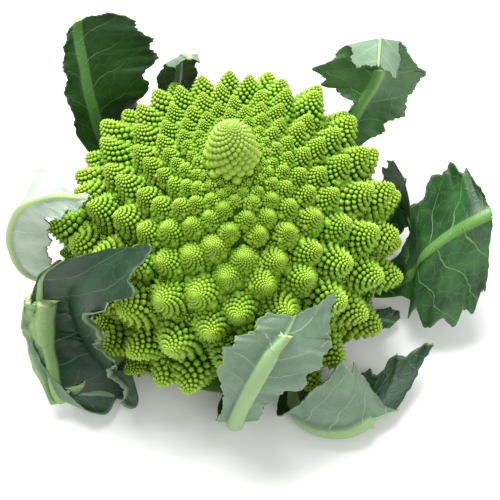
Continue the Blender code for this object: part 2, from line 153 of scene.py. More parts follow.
class Wiring:
    """Adds nodes to one node tree and joins them."""

    def __init__(self, tree: bpy.types.NodeTree) -> None:
        """Keep the tree that the nodes go into."""
        self.tree = tree

    def join(self, source: Value, target: bpy.types.NodeSocket) -> None:
        """Link a socket to another, or set its value."""
        if isinstance(source, bpy.types.NodeSocket):
            self.tree.links.new(source, target)
        else:
            target.default_value = source

    def add(self, kind: str, inputs: Optional[dict] = None, **settings: object) -> bpy.types.Node:
        """Add a node.

        Args:
            kind: The node's type name.
            inputs: What each input gets, by its name or number: a value or a socket.
            **settings: The node's own settings.

        Returns:
            The node.
        """
        node = self.tree.nodes.new(kind)
        for key, value in settings.items():
            setattr(node, key, value)
        for key, value in (inputs or {}).items():
            self.join(value, node.inputs[key])
        return node

    @property
    def is_shader(self) -> bool:
        """Tell whether the tree shades a surface."""
        return self.tree.bl_idname == "ShaderNodeTree"

    def math(self, operation: str, *values: Value) -> bpy.types.NodeSocket:
        """Add a Math node and return its result."""
        node = self.add("ShaderNodeMath", dict(enumerate(values)), operation=operation)
        return node.outputs[0]

    def vector(self, *values: Value) -> bpy.types.NodeSocket:
        """Join three numbers into a vector."""
        return self.add("ShaderNodeCombineXYZ", dict(enumerate(values))).outputs[0]

    def fade(self, value: Value, start: Value, end: Value) -> bpy.types.NodeSocket:
        """Return 0 up to start and 1 from end on, with a smooth change between them."""
        inputs = {"Value": value, "From Min": start, "From Max": end}
        return self.add("ShaderNodeMapRange", inputs, interpolation_type="SMOOTHSTEP").outputs[0]

    def mix(self, share: Value, first: Union[Colour, bpy.types.NodeSocket],
            second: Union[Colour, bpy.types.NodeSocket]) -> bpy.types.NodeSocket:
        """Mix two colours.

        Args:
            share: How much of the second colour shows.
            first: The first colour.
            second: The second colour.

        Returns:
            The mixed colour.
        """
        node = self.add("ShaderNodeMix", data_type="RGBA", clamp_factor=True)
        self.join(share, node.inputs[0])
        for place, colour in ((6, first), (7, second)):
            self.join(colour if isinstance(colour, bpy.types.NodeSocket) else (*colour, 1.0), node.inputs[place])
        return node.outputs[2]

    def stored(self, name: str) -> bpy.types.NodeSocket:
        """Return the number stored at the surface under a name."""
        return self.add("ShaderNodeAttribute", attribute_name=name).outputs["Fac"]


def new_group(name: str, kind: str, inputs: Sequence[tuple[str, str]],
              outputs: Sequence[tuple[str, str]]) -> tuple[bpy.types.NodeTree, bpy.types.Node, bpy.types.Node]:
    """Make an empty node group with named sockets.

    Args:
        name: The group's name.
        kind: The tree's type name.
        inputs: Name and socket type of each input.
        outputs: Name and socket type of each output.

    Returns:
        The tree, its input node and its output node.
    """
    tree = bpy.data.node_groups.new(name, kind)
    for label, socket in inputs:
        tree.interface.new_socket(label, in_out="INPUT", socket_type=socket)
    for label, socket in outputs:
        tree.interface.new_socket(label, in_out="OUTPUT", socket_type=socket)
    return tree, tree.nodes.new("NodeGroupInput"), tree.nodes.new("NodeGroupOutput")


@dataclass
class Outline:
    """The closed outline of the head, turned round the Z axis: the florets' tips touch it."""

    top: float = 156.0
    step: float = 1.0
    slopes: Sequence[tuple[float, float]] = (
        (0.0, 34.0), (5.0, 45.0), (11.0, 63.0), (14.0, 76.0), (24.0, 80.0), (28.0, 4.0), (36.0, 4.0),
        (42.0, 28.0), (85.0, 35.0), (130.0, 82.0), (172.0, 95.0), (183.0, 140.0), (194.0, 180.0),
        (290.0, 180.0))
    stretches: Sequence[tuple[float, float]] = (
        (0.0, 1.0), (9.0, 1.25), (25.0, 1.25), (29.0, 1.0), (41.0, 1.0), (42.0, 1.0))
    under_start: float = 180.0
    under_outer: float = 66.0
    under_inner: float = 29.0
    under_lift: float = 15.0
    pole: float = 0.6
    lengths: np.ndarray = field(init=False)
    radii: np.ndarray = field(init=False)
    heights: np.ndarray = field(init=False)

    def __post_init__(self) -> None:
        """Walk down the outline from its slopes."""
        lengths = np.arange(0.0, self.slopes[-1][0], self.step)
        slopes = np.radians(read_table(self.slopes, lengths))
        steps = self.step * self.stretch(lengths)
        radii = np.concatenate([[0.0], np.cumsum(np.cos(slopes) * steps)[:-1]])
        drops = np.concatenate([[0.0], np.cumsum(np.sin(slopes) * steps)[:-1]])
        keep = (radii > self.pole) | (lengths < self.under_start)
        self.lengths, self.radii = lengths[keep], radii[keep]
        inward = np.clip(self.under_outer - self.radii, 0.0, self.under_outer - self.under_inner)
        lift = self.under_lift * inward / (self.under_outer - self.under_inner)
        self.heights = self.top - drops[keep] + np.where(self.lengths > self.under_start, lift, 0.0)

    def stretch(self, length: np.ndarray) -> np.ndarray:
        """Return how many real millimetres one millimetre of length stands for."""
        return read_table(self.stretches, length)

    def radius(self, length: np.ndarray) -> np.ndarray:
        """Return the radius at a length along the outline."""
        return np.interp(length, self.lengths, self.radii)

    def height(self, length: np.ndarray) -> np.ndarray:
        """Return the height at a length along the outline."""
        return np.interp(length, self.lengths, self.heights)

    def clear(self, points: np.ndarray, margins: np.ndarray) -> np.ndarray:
        """Push points that are nearer to the outline than their margins straight out of it.

        Args:
            points: Points in millimetres, as an array with any number of axes.
            margins: How far each point has to stay outside.

        Returns:
            The points, moved where they have to be.
        """
        flat = points.reshape(-1, 3)
        spare = np.broadcast_to(margins, points.shape[:-1]).reshape(-1)
        radial = np.maximum(np.hypot(flat[:, 0], flat[:, 1]), self.pole)
        outline = np.stack([self.radii, self.heights], axis=-1)
        tangents = unit(np.gradient(outline, axis=0))
        normals = np.stack([-tangents[:, 1], tangents[:, 0]], axis=-1)
        place = np.stack([radial, flat[:, 2]], axis=-1)
        nearest = ((place[:, None] - outline[None]) ** 2).sum(axis=2).argmin(axis=1)
        away = ((place - outline[nearest]) * normals[nearest]).sum(axis=1)
        shift = normals[nearest] * np.maximum(spare - away, 0.0)[:, None]
        scale = 1.0 + shift[:, 0] / radial
        moved = np.stack([flat[:, 0] * scale, flat[:, 1] * scale, flat[:, 2] + shift[:, 1]], axis=-1)
        return moved.reshape(points.shape)


@dataclass(frozen=True)
class Swelling:
    """A place where the florets grew further out: its middle, its reach and its height in mm."""

    turn_degrees: float
    turn_reach: float
    length: float
    length_reach: float
    rise: float


@dataclass
class Spiral:
    """The golden-angle spiral on which the florets stand."""

    outline: Outline
    swelling: Swelling = Swelling(188.0, 15.0, 148.0, 24.0, 12.5)
    start: float = math.radians(199.7)
    growth: float = 0.0107
    reach: float = 60.5
    reach_index: int = 120
    packing: float = 0.87
    last: int = 219
    jitter: float = 0.1
    seed: int = 11
    foot_length: float = 42.0
    tip_widths: Sequence[tuple[float, float]] = (
        (0.0, 0.7), (4.0, 1.5), (10.0, 2.7), (20.0, 4.1), (26.0, 5.0), (31.0, 5.8), (36.0, 7.0), (42.0, 9.68))
    lifts: Sequence[tuple[float, float]] = (
        (0.0, 88.0), (4.0, 62.0), (8.0, 44.0), (14.0, 31.0), (24.0, 27.0), (29.0, 62.0), (36.0, 74.0), (42.0, 70.0),
        (64.0, 65.0), (85.0, 58.0), (106.0, 44.0), (127.0, 27.0), (148.0, 14.0), (168.0, 6.0))
    heights: Sequence[tuple[float, float]] = ((2.0, 0.45), (6.0, 0.6), (12.0, 0.85), (18.0, 0.92), (40.0, 0.95))
    places: np.ndarray = field(init=False)
    indices: np.ndarray = field(init=False)

    def __post_init__(self) -> None:
        """Count the florets down the outline, from their widths."""
        step = 0.25
        self.places = np.arange(step, self.outline.lengths[-1], step)
        around = 2.0 * math.pi * self.outline.radius(self.places) * self.outline.stretch(self.places)
        counted = np.cumsum(around * step / (self.packing * self.width(self.places) ** 2))
        self.indices = counted - np.interp(self.reach, self.places, counted) + self.reach_index

    def length(self, index: np.ndarray) -> np.ndarray:
        """Return how far along the outline a floret stands."""
        return np.interp(index, self.indices, self.places)

    def width(self, length: np.ndarray) -> np.ndarray:
        """Return the width of the florets at a length along the outline."""
        area = 2.0 * math.pi * self.outline.radius(length) * length * self.growth / self.packing
        return np.where(length < self.foot_length, read_table(self.tip_widths, length), np.sqrt(area))

    def axis(self, length: np.ndarray, turn: np.ndarray) -> np.ndarray:
        """Return the direction in which the florets point."""
        lift = np.radians(read_table(self.lifts, length))
        level = np.cos(lift)
        return np.stack([level * np.cos(turn), level * np.sin(turn), np.sin(lift)], axis=-1)

    def point(self, length: np.ndarray, turn: np.ndarray) -> np.ndarray:
        """Return a point of the outline turned round the Z axis."""
        away = np.degrees(turn) - self.swelling.turn_degrees
        aside = ((away + 180.0) % 360.0 - 180.0) / self.swelling.turn_reach
        along = (length - self.swelling.length) / self.swelling.length_reach
        radius = self.outline.radius(length) + self.swelling.rise * np.exp(-aside ** 2 - along ** 2)
        return np.stack([radius * np.cos(turn), radius * np.sin(turn), self.outline.height(length)], axis=-1)

    def foot(self, length: np.ndarray, turn: np.ndarray, share: float) -> np.ndarray:
        """Return points below the outline, at a share of the florets' height."""
        width = self.width(length)
        tall = width * read_table(self.heights, width)
        return self.point(length, turn) - self.axis(length, turn) * (tall * share)[..., None]


class BudKind(Enum):
    """The shapes that a floret's buds have."""

    SMOOTH = "the floret is one smooth bud"
    ROUND = "round buds, with round buds between the florets"
    POINTED = "pointed buds, with small florets between the florets"


@dataclass(frozen=True)
class Stray:
    """A floret that grew outside the spiral: its tip and its width in mm."""

    tip: Point
    width: float


@dataclass(frozen=True)
class Band:
    """A stretch of the spiral whose florets have the same number of buds.

    Attributes:
        name: The piece's name.
        first: Number of its first floret.
        last: Number of its last floret.
        kind: The shape of the buds.
        buds: Buds on each floret.
        tall: Height of a floret over its width.
        fillers: Small florets or buds round the foot of each floret.
        filler_size: Width of one of those over the width of its floret.
        strays: Florets of this kind that grew outside the spiral.
    """

    name: str
    first: int
    last: int
    kind: BudKind
    buds: int = 0
    tall: float = 1.0
    fillers: int = 0
    filler_size: float = 0.28
    strays: Sequence[Stray] = ()


@dataclass(frozen=True)
class CurdFinish:
    """The colours and the gloss of the florets, with painted shade darkening the crevices between the buds."""

    name: str = "curd_lime"
    crown: Colour = (0.26, 0.40, 0.044)
    tip: Colour = (0.34, 0.54, 0.040)
    bud: Colour = (0.22, 0.43, 0.015)
    low_bud: Colour = (0.20, 0.40, 0.014)
    # gap is painted shade: the dark green painted into the crevices at the feet of the buds, on the cones under them
    # and on the core.
    gap: Colour = (0.030, 0.085, 0.002)
    olive: Colour = (0.30, 0.42, 0.022)
    roughness: float = 0.42
    grain: float = 0.3

    def build(self) -> bpy.types.Material:
        """Make the material.

        Returns:
            A material that reads the florets' stored shares.
        """
        material = bpy.data.materials.new(self.name)
        material.use_nodes = True
        wire = Wiring(material.node_tree)
        shader = material.node_tree.nodes["Principled BSDF"]
        chart = wire.add("ShaderNodeTexCoord").outputs["Object"]
        cloud = wire.add("ShaderNodeTexNoise", {"Vector": chart, "Scale": 30.0, "Detail": 3.0}).outputs["Fac"]
        down = wire.stored("floret_share")
        along = wire.stored("bud_share")
        crown = wire.stored("crown")
        ground = wire.mix(wire.fade(down, 0.3, 0.95), self.bud, self.low_bud)
        patches = wire.fade(wire.math("MULTIPLY_ADD", wire.stored("tint"), 0.25, cloud), 0.5, 0.85)
        ground = wire.mix(wire.math("MULTIPLY", patches, 0.4), ground, self.olive)
        ground = wire.mix(wire.fade(along, 0.5, 0.03), ground, self.tip)
        ground = wire.mix(wire.fade(down, 0.22, 0.0), ground, self.crown)
        # depth is the painted-shade mask: a low stored crown far down a floret paints the crevice shade gap, and
        # lowers the specular level there too.
        depth = wire.math("MULTIPLY", wire.fade(crown, 0.8, 0.02), wire.fade(along, -0.3, 0.45))
        ground = wire.mix(depth, ground, self.gap)
        wire.join(ground, shader.inputs["Base Color"])
        wire.join(wire.math("MULTIPLY_ADD", depth, -0.45, 0.5), shader.inputs["Specular IOR Level"])
        grain = wire.add("ShaderNodeTexVoronoi", {"Vector": chart, "Scale": 1500.0}).outputs["Distance"]
        bump = wire.add("ShaderNodeBump", {"Height": grain, "Strength": self.grain, "Distance": 0.0002}, invert=True)
        wire.join(bump.outputs[0], shader.inputs["Normal"])
        shader.inputs["Roughness"].default_value = self.roughness
        shader.inputs["Subsurface Weight"].default_value = 0.1
        shader.inputs["Subsurface Radius"].default_value = (0.002, 0.003, 0.001)
        shader.inputs["Subsurface Scale"].default_value = 1.0
        return material


@dataclass
class Curd:
    """The head: buds on florets, florets on a spiral, and the core they stand on."""

    spiral: Spiral
    finish: CurdFinish = CurdFinish()
    bands: Sequence[Band] = (
        Band("tip_bumps", -178, -40, BudKind.SMOOTH),
        Band("tip_buds", -39, 33, BudKind.SMOOTH),
        Band("florets_ring", 34, 52, BudKind.ROUND, 26, 0.8, 7, 0.36),
        Band("florets_top", 53, 74, BudKind.ROUND, 55, 0.95, 10, 0.32),
        Band("florets_shoulder", 75, 92, BudKind.ROUND, 90, 1.1, 13, 0.28),
        Band("florets_upper", 93, 112, BudKind.ROUND, 120, 1.2, 14, 0.25),
        Band("florets_middle", 113, 132, BudKind.ROUND, 140, 1.2, 14, 0.24),
        Band("florets_broad", 133, 155, BudKind.ROUND, 150, 1.2, 11, 0.25),
        Band("florets_lower", 156, 178, BudKind.POINTED, 155, 1.15, 9, 0.28),
        Band("florets_low_rim", 179, 199, BudKind.POINTED, 160, 1.1, 9, 0.28, (
            Stray((-91.5, 4.0, 51.0), 17.0), Stray((-91.0, -7.0, 43.0), 16.0), Stray((-89.0, -18.0, 37.0), 18.0),
            Stray((-88.0, 12.0, 60.0), 18.0), Stray((-71.0, -49.0, 42.0), 19.0),
            Stray((-64.0, -56.0, 31.0), 18.0), Stray((-56.0, -67.0, 24.0), 18.0))),
        Band("florets_skirt", 200, 219, BudKind.POINTED, 160, 1.1, 8, 0.28),
    )
    bud_sides: int = 5
    cone_sides: int = 12
    core_share: float = 1.2
    core_sides: int = 72
    reach: float = 0.95
    fullness: float = 0.86
    blunt: float = 0.07
    tilt: float = 0.42
    crowding: float = 1.3
    lean: float = 0.1
    stray_lift: float = 0.35
    foot_reach: float = 0.66
    floor_gap: float = 3.0

    def turned_shape(self, name: str, sides: int, rings: Sequence[tuple[float, float, float]],
                     top: float) -> bpy.types.Object:
        """Make a closed, turned shape of width one round the Z axis.

        Args:
            name: The object's name.
            sides: Points in each ring.
            rings: Height, radius and stored crown of each ring, from the top down.
            top: Height of the point at the top.

        Returns:
            The shape, with its crown stored from 0 to 1.
        """
        vertices, crowns = [(0.0, 0.0, top)], [1.0]
        for height, radius, crown in rings:
            for side in range(sides):
                turn = 2.0 * math.pi * side / sides
                vertices.append((radius * math.cos(turn), radius * math.sin(turn), height))
                crowns.append(crown)
        faces = []
        for side in range(sides):
            after = (side + 1) % sides
            faces.append((0, 1 + side, 1 + after))
            for ring in range(len(rings) - 1):
                high = 1 + ring * sides
                low = high + sides
                faces.append((high + side, low + side, low + after, high + after))
        faces.append(tuple(1 + (len(rings) - 1) * sides + side for side in reversed(range(sides))))
        item = make_mesh(name, np.array(vertices) / MM, faces)
        store_numbers(item, "crown", np.array(crowns))
        shade_smooth(item)
        return item

    def cone_shape(self) -> bpy.types.Object:
        """Make the closed cone of width one and height one that the buds of a floret stand on."""
        shares = (0.04, 0.15, 0.35, 0.6, 0.85, 1.05)
        # Every ring stores crown 0, so the cone between the buds is painted dark as crevice shade.
        rings = [(-self.fall(share), 0.47 * share ** self.fullness, 0.0) for share in shares]
        item = self.turned_shape("floret_cone", self.cone_sides, rings, 0.0)
        stored = np.concatenate([[0.0], np.repeat(shares, self.cone_sides)])
        store_numbers(item, "bud_share", stored)
        return item

    def small_floret(self, count: int = 21, sides: int = 5) -> bpy.types.Object:
        """Make a closed small floret of width one: a cone with simple buds on it.

        Args:
            count: How many buds it has.
            sides: Sides of each bud.

        Returns:
            The small floret, with its crown stored from 0 to 1.
        """
        # The cone stores crown 0 and each bud's ring 0.35, so both are painted darker as crevice shade.
        vertices, crowns, faces = [(0.0, 0.0, 0.72)], [0.6], []
        cone = ((0.2, 0.25), (-0.6, 0.44))
        around = 8
        for height, radius in cone:
            for side in range(around):
                turn = 2.0 * math.pi * side / around
                vertices.append((radius * math.cos(turn), radius * math.sin(turn), height))
                crowns.append(0.0)
        for side in range(around):
            after = (side + 1) % around
            faces.append((0, 1 + side, 1 + after))
            faces.append((1 + side, 1 + around + side, 1 + around + after, 1 + after))
        faces.append(tuple(1 + around + side for side in reversed(range(around))))
        for number in range(count):
            share = ((number + 0.5) / count) ** 0.8
            turn = number * GOLDEN_ANGLE
            size = 0.11 + 0.15 * share
            centre = np.array([0.42 * share * math.cos(turn), 0.42 * share * math.sin(turn), 0.68 - 0.9 * share])
            out = unit(np.array([math.cos(turn) * min(share * 5.0, 1.0), math.sin(turn) * min(share * 5.0, 1.0), 0.5]))
            across = unit(np.cross(out, [-math.sin(turn), math.cos(turn), 0.1]))
            beside = np.cross(out, across)
            first = len(vertices)
            vertices.append(tuple(centre + out * size * 0.75))
            crowns.append(1.0)
            for side in range(sides):
                bend = 2.0 * math.pi * side / sides
                ring = across * math.cos(bend) + beside * math.sin(bend)
                vertices.append(tuple(centre + ring * size * 0.62 - out * size * 0.1))
                crowns.append(0.35)
            for side in range(sides):
                faces.append((first, first + 1 + side, first + 1 + (side + 1) % sides))
            faces.append(tuple(first + 1 + side for side in reversed(range(sides))))
        item = make_mesh("small_floret", np.array(vertices) / MM, faces)
        store_numbers(item, "crown", np.array(crowns))
        shade_smooth(item)
        return item

    def fall(self, share: float) -> float:
        """Return how far below a floret's tip its side lies, as a share of its height."""
        whole = math.hypot(1.0, self.blunt) - self.blunt
        return (math.hypot(share, self.blunt) - self.blunt) / whole

    def scatter(self, wire: Wiring, read: bpy.types.NodeInputs, count: bpy.types.NodeSocket,
                share: bpy.types.NodeSocket, turn: bpy.types.NodeSocket, spread: float) -> tuple:
        """Lay out points on a floret's cone.

        Args:
            wire: The tree's wiring.
            read: The group's inputs.
            count: How many points there are.
            share: How far down the cone each point is.
            turn: The angle of each point.
            spread: How far outside the cone the points lie.

        Returns:
            The points, the direction of each, and the cone's radius at each.
        """
        radius = wire.math("MULTIPLY", wire.math("POWER", share, read["Fullness"]), 0.5)
        blunt = read["Blunt"]
        soft = wire.math("SQRT", wire.math("MULTIPLY_ADD", share, share, wire.math("MULTIPLY", blunt, blunt)))
        whole = wire.math("SQRT", wire.math("MULTIPLY_ADD", blunt, blunt, 1.0))
        fall = wire.math("DIVIDE", wire.math("SUBTRACT", soft, blunt), wire.math("SUBTRACT", whole, blunt))
        ahead, aside = wire.math("COSINE", turn), wire.math("SINE", turn)
        wide = wire.math("ADD", radius, spread)
        place = wire.vector(
            wire.math("MULTIPLY", wide, ahead), wire.math("MULTIPLY", wide, aside),
            wire.math("MULTIPLY", fall, wire.math("MULTIPLY", read["Tall"], -1.0)))
        points = wire.add("GeometryNodePoints", {"Count": count, "Position": place}).outputs[0]
        level = wire.math("MINIMUM", wire.math("DIVIDE", share, blunt), 1.0)
        out = wire.vector(wire.math("MULTIPLY", ahead, level), wire.math("MULTIPLY", aside, level), read["Tilt"])
        turned = wire.add("FunctionNodeAlignRotationToVector", {"Vector": out}, axis="Z").outputs[0]
        return points, turned, radius

    def floret_tree(self) -> bpy.types.NodeTree:
        """Build the node group that sets buds on one floret of width one, its tip at the origin.

        Returns:
            A group with the bud, the cone, the number of buds, the height and the seed as inputs.
        """
        tree, given, result = new_group("floret_of_buds", "GeometryNodeTree", (
            ("Bud", "NodeSocketGeometry"), ("Cone", "NodeSocketGeometry"), ("Side Floret", "NodeSocketGeometry"),
            ("Buds", "NodeSocketInt"), ("Side Florets", "NodeSocketInt"), ("Side Size", "NodeSocketFloat"),
            ("Tall", "NodeSocketFloat"), ("Reach", "NodeSocketFloat"), ("Fullness", "NodeSocketFloat"),
            ("Blunt", "NodeSocketFloat"), ("Tilt", "NodeSocketFloat"), ("Crowding", "NodeSocketFloat"),
            ("Seed", "NodeSocketInt"),
        ), (("Floret", "NodeSocketGeometry"),))
        wire = Wiring(tree)
        read = given.outputs
        index = wire.add("GeometryNodeInputIndex").outputs[0]
        count = wire.math("MAXIMUM", read["Buds"], 1.0)
        order = wire.math("DIVIDE", wire.math("ADD", index, 0.5), count)
        share = wire.math("MULTIPLY", wire.math("POWER", order, read["Crowding"]), read["Reach"])
        turn = wire.math("MULTIPLY", index, GOLDEN_ANGLE)
        points, turned, radius = self.scatter(wire, read, read["Buds"], share, turn, 0.0)
        slant = wire.math("SQRT", wire.math("MULTIPLY_ADD", read["Tall"], read["Tall"], 0.25))
        ring = wire.math("MULTIPLY", wire.math("MULTIPLY", radius, slant), 2.0 * math.pi / self.spiral.packing)
        pace = wire.math("MULTIPLY", read["Crowding"], wire.math("DIVIDE", share, order))
        width = wire.math("SQRT", wire.math("DIVIDE", wire.math("MULTIPLY", ring, pace), count))
        chance = wire.add("FunctionNodeRandomValue", {2: 1.04, 3: 1.22, "Seed": read["Seed"]}, data_type="FLOAT")
        size = wire.math("MULTIPLY", width, chance.outputs[1])
        buds = wire.add("GeometryNodeInstanceOnPoints", {
            "Points": points, "Instance": read["Bud"], "Rotation": turned, "Scale": wire.vector(size, size, size)})
        marked = wire.add("GeometryNodeStoreNamedAttribute", {
            "Geometry": buds.outputs[0], "Name": "bud_share", "Value": share}, data_type="FLOAT", domain="INSTANCE")
        several = wire.math("MAXIMUM", read["Side Florets"], 1.0)
        low = wire.math("MULTIPLY_ADD", wire.math("DIVIDE", index, several), 0.40, 0.54)
        about = wire.math("MULTIPLY_ADD", index, GOLDEN_ANGLE, 1.0)
        sites, facing, _ = self.scatter(wire, read, read["Side Florets"], low, about, 0.09)
        chance = wire.add("FunctionNodeRandomValue", {2: 0.75, 3: 1.25, "Seed": read["Seed"]}, data_type="FLOAT")
        size = wire.math("MULTIPLY", read["Side Size"], chance.outputs[1])
        sides = wire.add("GeometryNodeInstanceOnPoints", {
            "Points": sites, "Instance": read["Side Floret"], "Rotation": facing,
            "Scale": wire.vector(size, size, size)})
        noted = wire.add("GeometryNodeStoreNamedAttribute", {
            "Geometry": sides.outputs[0], "Name": "bud_share", "Value": 0.6}, data_type="FLOAT", domain="INSTANCE")
        cone = wire.add("GeometryNodeTransform", {
            "Geometry": read["Cone"], "Scale": wire.vector(1.0, 1.0, read["Tall"])}).outputs[0]
        joined = wire.add("GeometryNodeJoinGeometry")
        for part in (marked.outputs[0], noted.outputs[0], cone):
            wire.join(part, joined.inputs[0])
        wire.join(joined.outputs[0], result.inputs["Floret"])
        return tree

    def head_tree(self, floret: bpy.types.NodeTree) -> bpy.types.NodeTree:
        """Build the tree that sets florets on the points of a band.

        Args:
            floret: The group that makes one floret.

        Returns:
            A tree for a modifier, with its sizes, shapes and material as named inputs.
        """
        tree, given, result = new_group("florets_on_spiral", "GeometryNodeTree", (
            ("Points", "NodeSocketGeometry"), ("Bud Shape", "NodeSocketObject"),
            ("Cone Shape", "NodeSocketObject"), ("Side Shape", "NodeSocketObject"), ("Buds", "NodeSocketInt"),
            ("Side Florets", "NodeSocketInt"), ("Side Size", "NodeSocketFloat"), ("Tall", "NodeSocketFloat"),
            ("Reach", "NodeSocketFloat"), ("Fullness", "NodeSocketFloat"), ("Blunt", "NodeSocketFloat"),
            ("Tilt", "NodeSocketFloat"), ("Crowding", "NodeSocketFloat"), ("Seed", "NodeSocketInt"),
            ("Finish", "NodeSocketMaterial"),
        ), (("Florets", "NodeSocketGeometry"),))
        wire = Wiring(tree)
        read = given.outputs
        one = wire.add("GeometryNodeGroup", node_tree=floret)
        for label, shape in (("Bud", "Bud Shape"), ("Cone", "Cone Shape"), ("Side Floret", "Side Shape")):
            found = wire.add("GeometryNodeObjectInfo", {"Object": read[shape]}).outputs["Geometry"]
            wire.join(found, one.inputs[label])
        for label in ("Buds", "Side Florets", "Side Size", "Tall", "Reach", "Fullness", "Blunt", "Tilt",
                      "Crowding", "Seed"):
            wire.join(read[label], one.inputs[label])
        axis = wire.add("GeometryNodeInputNamedAttribute", {"Name": "axis"}, data_type="FLOAT_VECTOR").outputs[0]
        width = wire.add("GeometryNodeInputNamedAttribute", {"Name": "width"}, data_type="FLOAT").outputs[0]
        spin = wire.add("GeometryNodeInputNamedAttribute", {"Name": "spin"}, data_type="FLOAT").outputs[0]
        turned = wire.add("FunctionNodeAlignRotationToVector", {"Vector": axis}, axis="Z").outputs[0]
        about = wire.add("FunctionNodeAxisAngleToRotation", {"Axis": (0.0, 0.0, 1.0), "Angle": spin}).outputs[0]
        turned = wire.add("FunctionNodeRotateRotation", {0: turned, 1: about}, rotation_space="LOCAL").outputs[0]
        florets = wire.add("GeometryNodeInstanceOnPoints", {
            "Points": read["Points"], "Instance": one.outputs[0], "Rotation": turned,
            "Scale": wire.vector(width, width, width)})
        real = wire.add("GeometryNodeRealizeInstances", {"Geometry": florets.outputs[0]}).outputs[0]
        dressed = wire.add("GeometryNodeSetMaterial", {"Geometry": real, "Material": read["Finish"]})
        wire.join(dressed.outputs[0], result.inputs["Florets"])
        return tree

    def band_points(self, band: Band, rng: random.Random) -> bpy.types.Object:
        """Make the points of one band, with each floret's direction, width, spin and place.

        Args:
            band: The stretch of the spiral.
            rng: Where the small irregularities come from.

        Returns:
            An object of loose points that the tree reads.
        """
        tips, axes, widths, spins, shares, tints = [], [], [], [], [], []
        spiral = self.spiral
        loose = 0.5 if band.kind is BudKind.SMOOTH else 1.0
        for index in range(band.first, band.last + 1):
            length = float(spiral.length(index))
            width = float(spiral.width(length))
            turn = index * GOLDEN_ANGLE + spiral.start
            shift = spiral.jitter * width * loose
            length += rng.uniform(-1.0, 1.0) * shift
            turn += rng.uniform(-1.0, 1.0) * shift / max(float(spiral.outline.radius(length)), 0.5)
            axis = spiral.axis(length, turn)
            sunk = rng.uniform(0.0, 0.16) * width * loose
            tip = spiral.point(length, turn) - axis * sunk
            sway = np.array([rng.uniform(-1.0, 1.0) for _ in range(3)]) * self.lean * loose
            axis = unit(axis + sway)
            width *= 1.0 + rng.uniform(-0.12, 0.2) * loose
            low = tip[2] - width * (band.tall * axis[2] + self.foot_reach * math.hypot(axis[0], axis[1]))
            tip[2] += max(self.floor_gap - low, 0.0)
            tips.append(tip)
            axes.append(axis)
            widths.append(width * MM)
            spins.append(rng.uniform(0.0, 2.0 * math.pi))
            shares.append(length / float(spiral.length(spiral.last)))
            tints.append(rng.random())
        for stray in band.strays:
            level = unit(np.array([stray.tip[0], stray.tip[1], 0.0]))
            tips.append(np.array(stray.tip))
            axes.append(unit(level + np.array([0.0, 0.0, self.stray_lift])))
            widths.append(stray.width * MM)
            spins.append(rng.uniform(0.0, 2.0 * math.pi))
            shares.append(0.8)
            tints.append(rng.random())
        item = make_mesh(band.name, np.array(tips), [])
        store_numbers(item, "axis", np.array(axes))
        store_numbers(item, "width", np.array(widths))
        store_numbers(item, "spin", np.array(spins))
        store_numbers(item, "floret_share", np.array(shares))
        store_numbers(item, "tint", np.array(tints))
        return item

    def grow(self, item: bpy.types.Object, tree: bpy.types.NodeTree, inputs: dict) -> bpy.types.Object:
        """Run the tree on the points of a band and keep the plain mesh.

        Args:
            item: The object of points.
            tree: The tree that grows the florets.
            inputs: The value of each named input.

        Returns:
            The same object, now with the finished mesh.
        """
        modifier = item.modifiers.new("florets", "NODES")
        modifier.node_group = tree
        for socket in tree.interface.items_tree:
            if socket.name in inputs and socket.in_out == "INPUT":
                modifier[socket.identifier] = inputs[socket.name]
        bpy.context.view_layer.update()
        shape = item.evaluated_get(bpy.context.evaluated_depsgraph_get())
        mesh = bpy.data.meshes.new_from_object(shape)
        item.modifiers.remove(modifier)
        item.data = mesh
        return item

    def core(self, finish: bpy.types.Material) -> bpy.types.Object:
        """Make the closed skin under the florets, with the head's furrowed underside.

        Args:
            finish: The florets' material.

        Returns:
            The core.
        """
        outline, spiral = self.spiral.outline, self.spiral
        lengths = np.concatenate([
            np.linspace(0.6, 28.0, 24), np.linspace(31.0, 166.0, 34), np.arange(171.0, outline.lengths[-1], 5.0)])
        turns = np.linspace(0.0, 2.0 * math.pi, self.core_sides, endpoint=False)
        rings = []
        for length in lengths:
            each = np.full(turns.shape, length)
            under = float(np.clip((length - 150.0) / 24.0, 0.0, 1.0))
            share = float(np.interp(length, [1.5, 5.0, 27.0, 40.0], [0.0, 1.3, 1.3, self.core_share]))
            inner = spiral.foot(each, turns, share)
            outer = spiral.point(each, turns)
            outer[:, :2] *= 1.0 - 0.16 * float(np.clip((210.0 - length) / 36.0, 0.0, 1.0))
            ring = inner * (1.0 - under) + outer * under
            furrow = 1.6 * under * np.sin(turns * 13.0 + 0.02 * length) * float(outline.radius(length)) / 80.0
            ring[:, 2] = np.maximum(ring[:, 2] + furrow, 17.6)
            rings.append(ring)
        vertices = np.concatenate([[[0.0, 0.0, outline.top]], *rings, [[0.0, 0.0, outline.heights[-1]]]])
        count = self.core_sides
        faces = []
        for side in range(count):
            after = (side + 1) % count
            faces.append((0, 1 + side, 1 + after))
            for ring in range(len(lengths) - 1):
                high = 1 + ring * count
                faces.append((high + side, high + count + side, high + count + after, high + after))
            low = 1 + (len(lengths) - 1) * count
            faces.append((low + side, len(vertices) - 1, low + after))
        item = make_mesh("curd_core", vertices, faces)
        shade_smooth(item)
        whole = np.concatenate([[0.0], np.repeat(lengths, count), [outline.lengths[-1]]])
        # The core's stored crown is 0 between lengths 5 and 172, so that stretch is painted with the dark crevice
        # shade; the apex and the underside get little of it.
        bare = np.clip((whole - 172.0) / 20.0, 0.0, 1.0) * 0.6 + np.clip((5.0 - whole) / 3.0, 0.0, 1.0)
        store_numbers(item, "crown", bare)
        store_numbers(item, "bud_share", np.ones(len(vertices)))
        store_numbers(item, "floret_share", whole / whole.max())
        store_numbers(item, "tint", np.zeros(len(vertices)))
        item.data.materials.append(finish)
        return item

